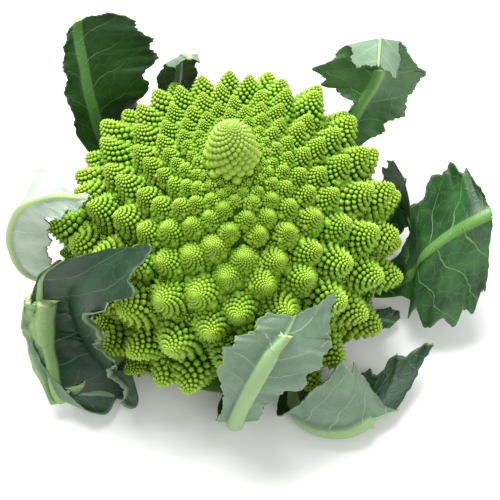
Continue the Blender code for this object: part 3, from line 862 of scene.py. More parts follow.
    def build(self) -> None:
        """Build every piece of the head and put it on the frame."""
        finish = self.finish.build()
        # The stored crowns set painted shade: a bud's lower ring, with a crown near 0, is painted with the dark
        # crevice colour.
        bud = self.turned_shape("round_bud", self.bud_sides, ((0.42, 0.34, 0.75), (-0.12, 0.54, 0.1)), 0.66)
        pointed = self.turned_shape("pointed_bud", self.bud_sides, ((0.40, 0.36, 0.75), (-0.12, 0.55, 0.1)), 0.92)
        smooth = self.turned_shape("smooth_bud", 8, (
            (0.16, 0.22, 1.0), (-0.06, 0.42, 0.8), (-0.4, 0.52, 0.35), (-1.1, 0.5, 0.0)), 0.24)
        cone, small = self.cone_shape(), self.small_floret()
        tree = self.head_tree(self.floret_tree())
        rng = random.Random(self.spiral.seed)
        shapes = {
            BudKind.SMOOTH: (bud, smooth, smooth), BudKind.ROUND: (bud, cone, smooth),
            BudKind.POINTED: (pointed, cone, small)}
        pieces = [self.core(finish)]
        for seed, band in enumerate(self.bands):
            buds, middle, filler = shapes[band.kind]
            inputs = {
                "Bud Shape": buds, "Cone Shape": middle, "Side Shape": filler, "Buds": band.buds,
                "Side Florets": band.fillers, "Side Size": band.filler_size, "Tall": band.tall,
                "Reach": self.reach, "Fullness": self.fullness, "Blunt": self.blunt, "Tilt": self.tilt,
                "Crowding": self.crowding, "Seed": seed, "Finish": finish}
            pieces.append(self.grow(self.band_points(band, rng), tree, inputs))
        for helper in (bud, pointed, smooth, cone, small):
            bpy.data.objects.remove(helper, do_unlink=True)
        for piece in pieces:
            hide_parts("head")
            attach(piece, BODY)
            LOG.info("%s: %d triangles", piece.name, sum(len(face.vertices) - 2 for face in piece.data.polygons))


def vein_group() -> bpy.types.NodeTree:
    """Build the shader group that draws a leaf's side veins and the net between them.

    Returns:
        A group that puts out a mask of the side veins and a mask of the net.
    """
    tree, given, result = new_group("leaf_veins", "ShaderNodeTree", (
        ("Line", "NodeSocketFloat"), ("Share", "NodeSocketFloat"), ("Chart", "NodeSocketVector"),
        ("Spacing", "NodeSocketFloat"), ("Width", "NodeSocketFloat"), ("Cells", "NodeSocketFloat"),
    ), (("Vein", "NodeSocketFloat"), ("Net", "NodeSocketFloat")))
    wire = Wiring(tree)
    read = given.outputs
    drift = wire.add("ShaderNodeTexNoise", {"Vector": read["Chart"], "Scale": 9.0, "Detail": 2.0}).outputs["Fac"]
    line = wire.math("MULTIPLY_ADD", wire.math("SUBTRACT", drift, 0.5), 0.35, read["Line"])
    near = wire.math("ABSOLUTE", wire.math("SUBTRACT", wire.math("FRACT", line), 0.5))
    near = wire.math("MULTIPLY", near, read["Spacing"])
    width = wire.math("MULTIPLY", read["Width"], wire.math("MULTIPLY_ADD", read["Share"], -0.65, 1.0))
    edge = wire.math("MULTIPLY", width, 0.35)
    vein = wire.math("SUBTRACT", 1.0, wire.fade(near, edge, width))
    bent = wire.add("ShaderNodeTexNoise", {"Vector": read["Chart"], "Scale": 25.0, "Detail": 2.0}).outputs["Color"]
    chart = wire.add("ShaderNodeVectorMath", {0: bent, 1: (0.03, 0.03, 0.0)}, operation="MULTIPLY").outputs[0]
    chart = wire.add("ShaderNodeVectorMath", {0: read["Chart"], 1: chart}, operation="ADD").outputs[0]
    cells = wire.add("ShaderNodeTexVoronoi", {"Vector": chart, "Scale": read["Cells"]}, feature="DISTANCE_TO_EDGE")
    net = wire.math("SUBTRACT", 1.0, wire.fade(cells.outputs["Distance"], 0.01, 0.07))
    wire.join(vein, result.inputs["Vein"])
    wire.join(net, result.inputs["Net"])
    return tree


@dataclass(frozen=True)
class LeafFinish:
    """The colours of one face of a leaf."""

    name: str
    blade: Colour
    cloud: Colour
    vein: Colour
    rib: Colour
    rim: Colour
    roughness: float
    net: float = 0.16
    relief: float = 0.5

    def build(self, group: bpy.types.NodeTree) -> bpy.types.Material:
        """Make the material.

        Args:
            group: The group that draws the veins.

        Returns:
            A material that reads the leaf's own chart and stored numbers.
        """
        material = bpy.data.materials.new(self.name)
        material.use_nodes = True
        wire = Wiring(material.node_tree)
        shader = material.node_tree.nodes["Principled BSDF"]
        chart = wire.add("ShaderNodeUVMap", uv_map="leaf").outputs[0]
        line, share = wire.stored("vein_line"), wire.stored("blade_share")
        veins = wire.add("ShaderNodeGroup", node_tree=group)
        for label, value in (("Line", line), ("Share", share), ("Chart", chart), ("Spacing", Leaf.vein_spacing),
                             ("Width", 0.6), ("Cells", 16.0)):
            wire.join(value, veins.inputs[label])
        cloud = wire.add("ShaderNodeTexNoise", {"Vector": chart, "Scale": 7.0, "Detail": 5.0}).outputs["Fac"]
        colour = wire.mix(wire.fade(cloud, 0.32, 0.72), self.blade, self.cloud)
        colour = wire.mix(wire.math("MULTIPLY", veins.outputs["Net"], self.net), colour, self.vein)
        colour = wire.mix(wire.math("MULTIPLY", veins.outputs["Vein"], 0.85), colour, self.vein)
        colour = wire.mix(wire.fade(share, 0.94, 1.0), colour, self.rim)
        colour = wire.mix(wire.fade(wire.stored("rib_share"), 0.05, 0.55), colour, self.rib)
        wire.join(colour, shader.inputs["Base Color"])
        fine = wire.add("ShaderNodeTexNoise", {"Vector": chart, "Scale": 160.0, "Detail": 3.0}).outputs["Fac"]
        height = wire.math("MULTIPLY_ADD", veins.outputs["Net"], 0.4, veins.outputs["Vein"])
        height = wire.math("MULTIPLY_ADD", fine, 0.35, height)
        bump = wire.add("ShaderNodeBump", {"Height": height, "Strength": self.relief, "Distance": 0.0004})
        wire.join(bump.outputs[0], shader.inputs["Normal"])
        rough = wire.math("MULTIPLY_ADD", cloud, 0.16, self.roughness - 0.08)
        wire.join(rough, shader.inputs["Roughness"])
        return material


@dataclass(frozen=True)
class CutFinish:
    """The moist, spongy face of a cut rib or stalk."""

    name: str = "cut_flesh"
    flesh: Colour = (0.62, 0.76, 0.38)
    pore: Colour = (0.36, 0.52, 0.16)
    roughness: float = 0.45

    def build(self) -> bpy.types.Material:
        """Make the material, with pale pores on Object coordinates."""
        material = bpy.data.materials.new(self.name)
        material.use_nodes = True
        wire = Wiring(material.node_tree)
        shader = material.node_tree.nodes["Principled BSDF"]
        chart = wire.add("ShaderNodeTexCoord").outputs["Object"]
        pores = wire.add("ShaderNodeTexVoronoi", {"Vector": chart, "Scale": 900.0}).outputs["Distance"]
        patch = wire.add("ShaderNodeTexNoise", {"Vector": chart, "Scale": 260.0, "Detail": 4.0}).outputs["Fac"]
        share = wire.math("MULTIPLY", wire.fade(pores, 0.25, 0.6), wire.fade(patch, 0.35, 0.6))
        wire.join(wire.mix(share, self.flesh, self.pore), shader.inputs["Base Color"])
        bump = wire.add("ShaderNodeBump", {"Height": patch, "Strength": 0.6, "Distance": 0.0006})
        wire.join(bump.outputs[0], shader.inputs["Normal"])
        shader.inputs["Roughness"].default_value = self.roughness
        return material


class RibEnd(Enum):
    """How a leaf's rib ends."""

    FADES = "runs out into the blade"
    CUT = "is cut off and shows its flesh"


@dataclass(frozen=True)
class Rib:
    """The thick middle rib: its half widths, the row where it ends, and how it ends."""

    root_half: float
    end_half: float
    end_row: float
    end: RibEnd = RibEnd.CUT


@dataclass(frozen=True)
class Cup:
    """How the right half of a leaf is hollowed, and how its edge is rolled in.

    Attributes:
        depths: Depth in millimetres at each row.
        rolls: How far the edge is rolled in, in millimetres, at each row.
        down: The direction of the hollow.
        inward: The direction of the rolled edge.
        start: Share of the half's width where the roll starts.
    """

    depths: Sequence[tuple[float, float]]
    rolls: Sequence[tuple[float, float]]
    down: Point = (0.0, 0.45, -0.89)
    inward: Point = (-0.9, -0.15, 0.4)
    start: float = 0.78


@dataclass(frozen=True)
class Notch:
    """A tear in a leaf's edge: which side, at which row, how long in rows and how deep in mm."""

    right: bool
    row: float
    reach: float
    depth: float


@dataclass
class Leaf:
    """One leaf: a blade with waved, torn edges on both sides of its rib."""

    name: str
    root_degrees: float
    under_half: float
    bow: tuple[float, float, float]
    rib: Rib
    rows: Sequence[Row]
    seed: int
    upper: LeafFinish
    lower: LeafFinish
    teeth: float = 1.5
    tears: float = 2.0
    ragged_end: float = 3.0
    notches: Sequence[Notch] = ()
    cup: Optional[Cup] = None
    rib_rise: float = 0.25
    rows_per_span: int = 15
    rib_columns: Sequence[float] = (0.0, 0.3, 0.58, 0.8, 0.95, 1.15)
    blade_columns: int = 15
    blade_half: float = 0.32
    root_radius: float = 21.8
    root_half: float = 4.0
    root_height: float = 8.0
    under_radius: float = 58.0
    head_clearance: float = 2.6
    edge_wave: float = 1.5
    edge_tear: float = 0.07
    vein_spacing: float = 15.0
    vein_slant: float = 0.62

    def control_rows(self) -> np.ndarray:
        """Return every control row, with the two under the head first."""
        turn = math.radians(self.root_degrees)
        outward = np.array([math.cos(turn), math.sin(turn), 0.0])
        aside = np.array([math.sin(turn), -math.cos(turn), 0.0])
        rows = []
        for radius, width in ((self.root_radius, self.root_half), (self.under_radius, self.under_half)):
            centre = outward * radius + np.array([0.0, 0.0, self.root_height])
            rows.append((centre - aside * width, centre, centre + aside * width))
        return np.array(rows + [tuple(np.array(point, dtype=float) for point in row) for row in self.rows])

    def places(self, last: float) -> tuple[np.ndarray, np.ndarray]:
        """Return where the rows of the mesh lie, and the rib's half width at each.

        Args:
            last: The number of the last control row.

        Returns:
            The places, with one place twice where the rib is cut, and the half widths.
        """
        rib = self.rib
        places = np.linspace(0.0, last, int(last * self.rows_per_span) + 1)
        halves = np.interp(places, [0.0, rib.end_row], [rib.root_half, rib.end_half])
        if rib.end_row < last:
            step = 0.5 if rib.end is RibEnd.FADES else 0.02
            before = places <= rib.end_row
            fading = np.interp(places, [rib.end_row, rib.end_row + step, last], [rib.end_half, 1.3, 0.5])
            halves = np.where(before, halves, fading)
            if rib.end is RibEnd.CUT:
                split = int(before.sum())
                places = np.insert(places, split, rib.end_row + 0.02)
                places = np.insert(places, split, rib.end_row)
                halves = np.insert(halves, split, 1.3)
                halves = np.insert(halves, split, rib.end_half)
        return places, halves

    def edge_change(self, place: np.ndarray, right: np.ndarray, width: np.ndarray,
                    rng: random.Random) -> np.ndarray:
        """Return how far the edge moves in or out, in millimetres.

        Args:
            place: The place of each point along the leaf.
            right: Whether the point is on the right half.
            width: The half's width at each point, before the change.
            rng: Where the irregularities come from.

        Returns:
            The change of the half's width at each point.
        """
        shift = rng.uniform(0.0, 9.0)
        run = place * 6.0 + np.where(right, 0.37, 0.0) + shift
        saw = np.abs((run + 0.25 * np.sin(run * 1.7)) % 1.0 - 0.35) * 2.0
        fine = np.abs((run * 2.7) % 1.0 - 0.5) * 2.0
        tear = np.maximum(np.sin(place * 4.3 + shift + right), 0.0) ** 3 + np.sin(place * 9.1 + 2.0 * shift) * 0.3
        change = -self.teeth * saw - 0.45 * self.teeth * fine - self.tears * tear
        for notch in self.notches:
            near = np.clip(1.0 - np.abs(place - notch.row) / notch.reach, 0.0, 1.0)
            change = change - notch.depth * near * (right == notch.right)
        return change * np.clip((place - 1.8) / 0.7, 0.0, 1.0) * np.clip(width / 20.0, 0.0, 1.0)

    def build(self, materials: dict[str, bpy.types.Material], outline: Outline) -> None:
        """Build the leaf, dress it and put it on the frame.

        Args:
            materials: The finished materials by name.
            outline: The head's outline, which the leaf stays clear of.
        """
        rng = random.Random(self.seed)
        phases = [rng.uniform(0.0, 2.0 * math.pi) for _ in range(4)]
        control = self.control_rows()
        last = float(len(control) - 1)
        places, halves = self.places(last)
        inner = np.array(self.rib_columns)
        outer = np.linspace(0.0, 1.0, self.blade_columns + 1)[1:] ** 0.92
        steps = len(inner) + len(outer) - 1
        numbers = np.concatenate([np.arange(steps, 0, -1), np.arange(0, steps + 1)])
        right = np.concatenate([np.zeros(steps, bool), np.ones(steps + 1, bool)])[None, :]
        number = numbers[None, :]
        place = places[:, None] + np.zeros(number.shape)
        ragged = np.array([0.5 + 0.5 * math.sin(7.9 * index + phases[1]) * math.cos(2.3 * index) for index in range(
            number.shape[1])])[None, :]
        length = float(np.linalg.norm(np.diff(control[:, 1], axis=0), axis=1).sum())
        place = place - self.ragged_end * ragged * last / length * (place / last) ** 10
        left_line, rib_line, right_line = (smooth_curve(control[:, column], place) for column in range(3))
        ahead = smooth_curve(control[:, 1], np.clip(place + 0.02, 0.0, last))
        behind = smooth_curve(control[:, 1], np.clip(place - 0.02, 0.0, last))
        aside = unit(right_line - left_line)
        upper = unit(np.cross(aside, ahead - behind))
        side = right.astype(float)
        fade = np.minimum(1.0, place / 2.5)
        tear = 1.0 + self.edge_tear * np.sin(place * 7.7 + phases[3] + side) * fade
        span = np.where(right[..., None], right_line, left_line) - rib_line
        span = span * tear[..., None]
        width = np.linalg.norm(span, axis=-1)
        change = self.edge_change(place, right, width, rng)
        span = span * (np.maximum(width + change, 0.45 * width) / np.maximum(width, 0.1))[..., None]
        width = np.linalg.norm(span, axis=-1)
        half = halves[:, None]
        root = np.minimum(inner[-1] * half / np.maximum(width, 0.1), 0.7)
        low = np.take(inner, np.minimum(number, len(inner) - 1)) / inner[-1] * root
        high = root + (1.0 - root) * np.take(outer, np.clip(number - len(inner), 0, len(outer) - 1))
        share = np.where(number < len(inner), low, high)
        bulge = np.where(right, self.bow[1], self.bow[0])
        control_point = 0.5 * span + upper * (bulge * width)[..., None]
        control_point = control_point + aside * ((2.0 * side - 1.0) * self.bow[2] * width)[..., None]
        if self.cup:
            depth = 2.0 * read_table(self.cup.depths, place) * side
            control_point = control_point + depth[..., None] * np.array(self.cup.down)
        wave = np.sin(place * 2.9 + np.where(right, phases[1], phases[0])) + 0.6 * np.sin(place * 6.1 + phases[2])
        crinkle = 0.45 * np.sin(place * 19.0 + phases[0] + 4.0 * side) * share
        lift = (wave * self.edge_wave + crinkle) * fade * share ** 2
        offset = (2.0 * share * (1.0 - share))[..., None] * control_point + (share ** 2)[..., None] * span
        grid = rib_line + offset + upper * lift[..., None]
        if self.cup:
            past = np.clip((share - self.cup.start) / (1.0 - self.cup.start), 0.0, 1.0)
            roll = read_table(self.cup.rolls, place) * side * past ** 1.5
            grid = grid + roll[..., None] * np.array(self.cup.inward)
        gap = share * width
        swell = np.clip(1.0 - (gap / np.maximum(1.12 * half, 0.1)) ** 2, 0.0, 1.0)
        grid = outline.clear(grid, self.head_clearance + 0.3 * half * swell)
        thick = self.blade_half + 0.95 * half * swell ** 0.6 + 0.3
        grid[..., 2] = np.maximum(grid[..., 2], thick + 0.3)
        travel = np.interp(place, places, np.concatenate([[0.0], np.cumsum(
            np.linalg.norm(np.diff(smooth_curve(control[:, 1], places), axis=0), axis=1))]))
        wobble = 1.6 * np.sin(travel / 9.0 + phases[2]) + 1.1 * np.sin(gap / 5.0 + phases[3] + 2.0 * side)
        line = (travel - self.vein_slant * gap + wobble) / self.vein_spacing + 0.5 * side
        near = np.abs(line % 1.0 - 0.5) * self.vein_spacing
        ridge = np.exp(-(near / 1.0) ** 2) * (1.0 - 0.7 * share) * (1.0 - swell)
        normals = unit(np.cross(np.gradient(grid, axis=1), np.gradient(grid, axis=0)))
        below = self.blade_half + 0.95 * half * swell ** 0.6 + 0.3 * ridge
        above = self.blade_half + self.rib_rise * half * swell - 0.12 * ridge
        front = grid + normals * above[..., None]
        back = grid - normals * below[..., None]
        item = self.skin(front, back, gap, half)
        for name, values in (("vein_line", line), ("blade_share", share), ("rib_share", swell)):
            store_numbers(item, name, np.concatenate([values.ravel(), values.ravel()]))
        chart = np.stack([travel, gap * (2.0 * side - 1.0)], axis=-1).reshape(-1, 2) / 100.0
        self.lay_chart(item, np.concatenate([chart, chart]))
        for finish in (self.upper.name, self.lower.name, "cut_flesh"):
            item.data.materials.append(materials[finish])
        shade_smooth(item)
        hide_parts(self.name)
        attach(item, BODY)
        LOG.info("%s: %d triangles", item.name, 2 * len(item.data.polygons))

    def skin(self, front: np.ndarray, back: np.ndarray, gap: np.ndarray, half: np.ndarray) -> bpy.types.Object:
        """Join the two faces of the leaf into one closed skin.

        Args:
            front: The grid of points on the upper face.
            back: The grid of points on the lower face.
            gap: How far each point is from the rib's middle.
            half: The rib's half width in each row.

        Returns:
            The leaf, with the material number of each face set.
        """
        rows, columns = front.shape[:2]
        total = rows * columns
        faces, kinds = [], []
        cut_rows = [row for row in range(rows - 1) if half[row, 0] - half[row + 1, 0] > 0.8]
        for row in range(rows - 1):
            for column in range(columns - 1):
                near = row * columns + column
                far = near + columns
                cut = row in cut_rows and gap[row, column] < 1.2 * half[row, 0]
                faces.append((near, near + 1, far + 1, far))
                kinds.append(2 if cut else 0)
                faces.append((total + near, total + far, total + far + 1, total + near + 1))
                kinds.append(2 if cut else 1)
        border = list(range(columns))
        border += [row * columns + columns - 1 for row in range(1, rows)]
        border += [(rows - 1) * columns + column for column in range(columns - 2, -1, -1)]
        border += [row * columns for row in range(rows - 2, 0, -1)]
        ends_cut = self.rib.end is RibEnd.CUT and self.rib.end_row >= len(self.rows) + 1
        for start, end in zip(border, border[1:] + border[:1]):
            row, column = divmod(start, columns)
            at_end = row in (0, rows - 1) and gap[row, column] < 1.1 * half[row, 0]
            faces.append((start, total + start, total + end, end))
            kinds.append(2 if at_end and (ends_cut or row == 0) else 0)
        vertices = np.concatenate([front.reshape(-1, 3), back.reshape(-1, 3)])
        item = make_mesh(self.name + "_blade", vertices, faces)
        item.data.polygons.foreach_set("material_index", kinds)
        return item

    def lay_chart(self, item: bpy.types.Object, chart: np.ndarray) -> None:
        """Lay the leaf's flat chart on it as a UV map, a decimetre to each unit.

        Args:
            item: The leaf.
            chart: The place of each vertex along and across the leaf.
        """
        corners = np.empty(len(item.data.loops), dtype=np.int32)
        item.data.loops.foreach_get("vertex_index", corners)
        layer = item.data.uv_layers.new(name="leaf")
        layer.data.foreach_set("uv", chart[corners].astype(np.float32).ravel())


DARK_GREEN = LeafFinish(
    "leaf_dark_green", (0.006, 0.038, 0.004), (0.013, 0.062, 0.009), (0.050, 0.125, 0.038),
    (0.065, 0.17, 0.035), (0.035, 0.10, 0.025), 0.45)
FRESH_GREEN = LeafFinish(
    "leaf_fresh_green", (0.010, 0.046, 0.010), (0.028, 0.105, 0.024), (0.10, 0.21, 0.06),
    (0.10, 0.23, 0.045), (0.05, 0.13, 0.03), 0.42)
SAGE_GREEN = LeafFinish(
    "leaf_sage_green", (0.045, 0.125, 0.040), (0.090, 0.210, 0.075), (0.16, 0.30, 0.11),
    (0.16, 0.34, 0.09), (0.10, 0.20, 0.08), 0.48)
BLUE_GREEN = LeafFinish(
    "leaf_blue_green", (0.006, 0.034, 0.010), (0.014, 0.056, 0.022), (0.07, 0.14, 0.06),
    (0.26, 0.42, 0.15), (0.10, 0.18, 0.08), 0.48)
PALE_UNDER = LeafFinish(
    "leaf_pale_under", (0.115, 0.190, 0.115), (0.165, 0.255, 0.168), (0.27, 0.37, 0.24),
    (0.27, 0.42, 0.18), (0.22, 0.32, 0.19), 0.6)
SILVER_UNDER = LeafFinish(
    "leaf_silver_under", (0.30, 0.40, 0.29), (0.46, 0.57, 0.45), (0.52, 0.62, 0.44),
    (0.36, 0.52, 0.20), (0.38, 0.50, 0.30), 0.6)

LEAVES: Sequence[Leaf] = (
    Leaf("leaf_back_left", 133.0, 7.0, (-0.10, -0.16, 0.0), Rib(3.4, 3.2, 6.0), (
        ((-78, 52, 40), (-68, 58, 36), (-52, 76, 36)),
        ((-88, 64, 74), (-76, 69, 68), (-48, 82, 62)),
        ((-88, 73, 92), (-79, 81, 86), (-41, 90, 82)),
        ((-88, 84, 100), (-81, 90, 98), (-44, 93, 98)),
        ((-85, 91, 104), (-81, 95, 107), (-60, 99, 110)),
    ), 0, DARK_GREEN, PALE_UNDER),
    Leaf("leaf_back", 103.0, 5.0, (-0.12, -0.12, 0.0), Rib(2.6, 1.4, 5.0), (
        ((-44, 84, 30), (-32, 89, 30), (-20, 92, 32)),
        ((-42, 84, 64), (-30, 88, 68), (-20, 90, 66)),
        ((-37, 80, 86), (-27, 84, 90), (-18, 84, 88)),
        ((-28, 74, 98), (-22, 74, 102), (-17, 72, 102)),
    ), 1, DARK_GREEN, PALE_UNDER),
    Leaf("leaf_back_right", 52.0, 6.0, (-0.12, -0.12, 0.0), Rib(3.6, 3.4, 5.0), (
        ((54, 72, 40), (60, 69, 38), (72, 64, 34)),
        ((64, 76, 58), (69, 75, 60), (90, 72, 48)),
        ((50, 82, 62), (74, 78, 70), (98, 81, 60)),
        ((43, 86, 76), (77, 81, 82), (102, 87, 72)),
        ((58, 86, 92), (76, 88, 100), (88, 87, 94)),
        ((62, 68, 102), (73, 64, 108), (84, 62, 98)),
    ), 2, SAGE_GREEN, PALE_UNDER),
    Leaf("leaf_right", -6.0, 7.0, (-0.08, 0.05, 0.0), Rib(3.6, 3.4, 6.0), (
        ((92, 8, 18), (92, -12, 24), (94, -22, 18)),
        ((95, 26, 32), (100, -8, 42), (93, -33, 18)),
        ((108, 36, 52), (114, -1, 53), (109, -39, 20)),
        ((118, 33, 66), (124, 2, 60), (122, -36, 26)),
        ((127, 19, 68), (134, 6, 63), (132, -26, 34)),
    ), 3, FRESH_GREEN, PALE_UNDER),
    Leaf("leaf_right_inner", 20.0, 4.0, (-0.06, -0.06, 0.0), Rib(2.2, 1.0, 4.0, RibEnd.FADES), (
        ((78, 44, 28), (86, 28, 28), (92, 14, 28)),
        ((78, 44, 46), (87, 28, 48), (92, 12, 44)),
        ((80, 38, 60), (86, 24, 64), (90, 12, 56)),
    ), 4, DARK_GREEN, PALE_UNDER),
    Leaf("leaf_right_lower", -34.0, 5.0, (0.05, 0.05, 0.0), Rib(2.2, 1.0, 4.0, RibEnd.FADES), (
        ((78, -24, 9), (71, -30, 9), (65, -34, 8)),
        ((86, -23, 8), (80, -30, 8), (74, -35, 7)),
        ((90, -28, 7), (87, -31, 6), (84, -34, 6)),
    ), 5, DARK_GREEN, PALE_UNDER, teeth=0.6, tears=0.5, ragged_end=1.0),
    Leaf("leaf_front_right", -56.0, 6.0, (-0.05, -0.10, 0.1), Rib(4.0, 4.6, 5.0), (
        ((38, -62, 6), (31, -76, 9), (22, -84, 14)),
        ((54, -64, 5), (41, -90, 9), (34, -84, 40)),
        ((70, -60, 9), (57, -93, 10), (53, -74, 58)),
        ((86, -54, 14), (71, -88, 13), (63, -73, 43)),
        ((106, -49, 24), (86, -82, 10), (73, -81, 24)),
    ), 6, BLUE_GREEN, PALE_UNDER),
    Leaf("leaf_front", -86.0, 6.0, (-0.10, -0.10, 0.0), Rib(4.0, 3.4, 6.0), (
        ((12, -84, 13), (1, -88, 15), (-9, -84, 13)),
        ((17, -91, 46), (3, -89, 42), (-5, -89, 50)),
        ((30, -93, 62), (10, -88, 70), (-7, -87, 75)),
        ((43, -85, 78), (18, -82, 87), (-5, -81, 91)),
        ((47, -77, 91), (25, -76, 95), (6, -76, 98)),
        ((50, -57, 107), (30, -69, 103), (16, -69, 104)),
    ), 7, DARK_GREEN, PALE_UNDER),
    Leaf("leaf_front_left", 216.0, 7.0, (-0.12, -0.08, 0.3), Rib(4.0, 5.6, 5.0), (
        ((-66, -81, 8), (-90, -75, 11), (-49, -79, 9)),
        ((-92, -73, 29), (-99, -63, 32), (-50, -74, 34)),
        ((-103, -57, 49), (-99, -53, 50), (-53, -71, 61)),
        ((-100, -49, 67), (-96, -46, 68), (-59, -60, 83)),
        ((-95, -42, 84), (-92, -40, 84), (-48, -59, 99)),
        ((-83, -39, 98), (-80, -38, 97), (-37, -41, 121)),
    ), 8, BLUE_GREEN, PALE_UNDER, cup=Cup(
        ((1.0, 0.0), (2.0, 3.0), (3.0, 20.0), (4.0, 28.0), (5.0, 24.0), (6.0, 8.0), (7.0, 2.0)),
        ((1.5, 0.0), (2.0, 3.0), (3.0, 9.0), (4.0, 11.0), (5.0, 9.0), (5.6, 0.0))), rib_rise=0.8),
    Leaf("leaf_left", 183.0, 6.0, (-0.10, -0.10, 0.0), Rib(3.2, 1.4, 7.0, RibEnd.FADES), (
        ((-94, -16, 28), (-105, -11, 22), (-109, -2, 14)),
        ((-92, -14, 52), (-116, -5, 46), (-118, 12, 34)),
        ((-92, -12, 76), (-109, -1, 74), (-107, 20, 60)),
        ((-85, -17, 96), (-96, -5, 94), (-98, 25, 74)),
        ((-75, -16, 106), (-82, -9, 106), (-81, -1, 100)),
        ((-68, -16, 112), (-67, -14, 112), (-67, -11, 111)),
    ), 9, DARK_GREEN, SILVER_UNDER),
)


@dataclass
class Stalk:
    """The cut stalk under the head, with its flesh showing at the cut end."""

    radius: float = 20.0
    flare: float = 1.5
    top: float = 25.8
    sides: int = 72
    levels: int = 16
    rib: float = 0.35
    ring_share: float = 0.8

    def build(self, materials: dict[str, bpy.types.Material]) -> None:
        """Build the stalk and put it on the frame.

        Args:
            materials: The finished materials by name.
        """
        rows = []
        for level in range(self.levels + 1):
            share = level / self.levels
            height = self.top * share
            radius = self.radius + self.flare * (1.0 - share) ** 1.5
            radius -= 1.0 * math.exp(-height / 0.5) + 0.8 * math.exp(-(self.top - height) / 0.8)
            rows.append((height, radius))
        vertices = [(0.0, 0.0, 0.0)]
        for share in (0.35, 0.7):
            rows.insert(0, (0.0, rows[0][1] * (1.05 - share)))
        rows.append((self.top, rows[-1][1] * 0.5))
        for height, radius in rows:
            for side in range(self.sides):
                turn = 2.0 * math.pi * side / self.sides
                wide = radius + (self.rib * math.sin(side * 0.9) if 0.0 < height < self.top else 0.0)
                vertices.append((wide * math.cos(turn), wide * math.sin(turn), height))
        vertices.append((0.0, 0.0, self.top))
        faces, kinds = [], []
        for side in range(self.sides):
            after = (side + 1) % self.sides
            faces.append((0, 1 + after, 1 + side))
            kinds.append(1)
            for ring in range(len(rows) - 1):
                low = 1 + ring * self.sides
                faces.append((low + side, low + after, low + self.sides + after, low + self.sides + side))
                kinds.append(1 if ring < 2 else 0)
            low = 1 + (len(rows) - 1) * self.sides
            faces.append((low + side, low + after, len(vertices) - 1))
            kinds.append(0)
        item = make_mesh("stalk", np.array(vertices), faces)
        item.data.polygons.foreach_set("material_index", kinds)
        item.data.polygons.foreach_set("use_smooth", [kind == 0 for kind in kinds])
        item.data.materials.append(materials["stalk_skin"])
        item.data.materials.append(materials["cut_flesh"])
        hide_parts("stem")
        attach(item, BODY)
        LOG.info("stalk: %d faces", len(faces))


@dataclass(frozen=True)
class StalkFinish:
    """The pale, fibrous skin of the stalk."""

    name: str = "stalk_skin"
    skin: Colour = (0.40, 0.54, 0.22)
    fibre: Colour = (0.60, 0.70, 0.42)

    def build(self) -> bpy.types.Material:
        """Make the material, with fibres that run up the stalk."""
        material = bpy.data.materials.new(self.name)
        material.use_nodes = True
        wire = Wiring(material.node_tree)
        shader = material.node_tree.nodes["Principled BSDF"]
        chart = wire.add("ShaderNodeTexCoord").outputs["Object"]
        long = wire.add("ShaderNodeMapping", {"Vector": chart, "Scale": (1.0, 1.0, 0.12)}).outputs[0]
        fibre = wire.add("ShaderNodeTexNoise", {"Vector": long, "Scale": 420.0, "Detail": 4.0}).outputs["Fac"]
        wire.join(wire.mix(wire.fade(fibre, 0.35, 0.7), self.skin, self.fibre), shader.inputs["Base Color"])
        bump = wire.add("ShaderNodeBump", {"Height": fibre, "Strength": 0.5, "Distance": 0.0005})
        wire.join(bump.outputs[0], shader.inputs["Normal"])
        shader.inputs["Roughness"].default_value = 0.5
        return material


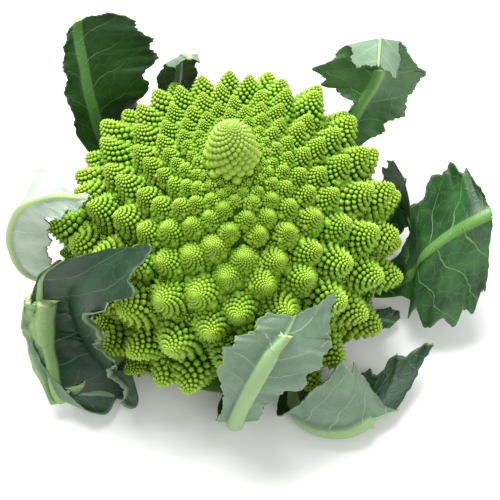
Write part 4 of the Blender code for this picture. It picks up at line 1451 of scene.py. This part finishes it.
@dataclass
class Studio:
    """The pale floor, the soft lights and the camera at the photograph's angle."""

    eye: Point = (8.5, -321.0, 662.0)
    pitch_degrees: float = 63.0
    lens: float = 95.5
    floor_half: float = 1500.0
    floor_colour: Colour = (0.90, 0.90, 0.90)

    def build(self) -> None:
        """Build the floor, the lights and the camera."""
        half = self.floor_half
        corners = [(-half, -half, -0.2), (half, -half, -0.2), (half, half, -0.2), (-half, half, -0.2)]
        floor = make_mesh("floor", np.array(corners), [(0, 1, 2, 3)])
        material = bpy.data.materials.new("floor_white")
        material.use_nodes = True
        shader = material.node_tree.nodes["Principled BSDF"]
        shader.inputs["Base Color"].default_value = (*self.floor_colour, 1.0)
        shader.inputs["Roughness"].default_value = 0.9
        floor.data.materials.append(material)
        self.lamp("soft_top", (-120.0, 420.0, 900.0), 600.0, 18.0)
        self.lamp("soft_front", (300.0, -600.0, 900.0), 600.0, 3.0)
        world = bpy.data.worlds.new("pale_room")
        world.use_nodes = True
        world.node_tree.nodes["Background"].inputs["Color"].default_value = (1.0, 1.0, 1.0, 1.0)
        world.node_tree.nodes["Background"].inputs["Strength"].default_value = 0.65
        bpy.context.scene.world = world
        bpy.context.scene.view_settings.view_transform = "Standard"
        camera = bpy.data.objects.new("camera", bpy.data.cameras.new("camera"))
        camera.data.lens = self.lens
        camera.data.sensor_width = 36.0
        camera.data.clip_start = 0.01
        camera.location = [value * MM for value in self.eye]
        camera.rotation_euler = (math.radians(90.0 - self.pitch_degrees), 0.0, 0.0)
        bpy.context.scene.collection.objects.link(camera)
        bpy.context.scene.camera = camera

    def lamp(self, name: str, place: Point, size: float, power: float) -> None:
        """Add one square soft light that points at the romanesco.

        Args:
            name: The light's name.
            place: Where it hangs, in millimetres.
            size: Its side in millimetres.
            power: Its power in watts.
        """
        light = bpy.data.lights.new(name, "AREA")
        light.size = size * MM
        light.energy = power
        item = bpy.data.objects.new(name, light)
        item.location = [value * MM for value in place]
        item.rotation_euler = (-item.location).to_track_quat("-Z", "Y").to_euler()
        bpy.context.scene.collection.objects.link(item)


def main() -> None:
    """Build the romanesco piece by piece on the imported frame."""
    logging.basicConfig(level=logging.INFO, format="%(name)s %(message)s")
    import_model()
    outline = Outline()
    Studio().build()
    Curd(Spiral(outline)).build()
    group = vein_group()
    finishes = (DARK_GREEN, FRESH_GREEN, SAGE_GREEN, BLUE_GREEN, PALE_UNDER, SILVER_UNDER)
    materials = {finish.name: finish.build(group) for finish in finishes}
    materials["cut_flesh"] = CutFinish().build()
    materials["stalk_skin"] = StalkFinish().build()
    Stalk().build(materials)
    for leaf in LEAVES:
        leaf.build(materials, outline)


if __name__ == "__main__":
    main()
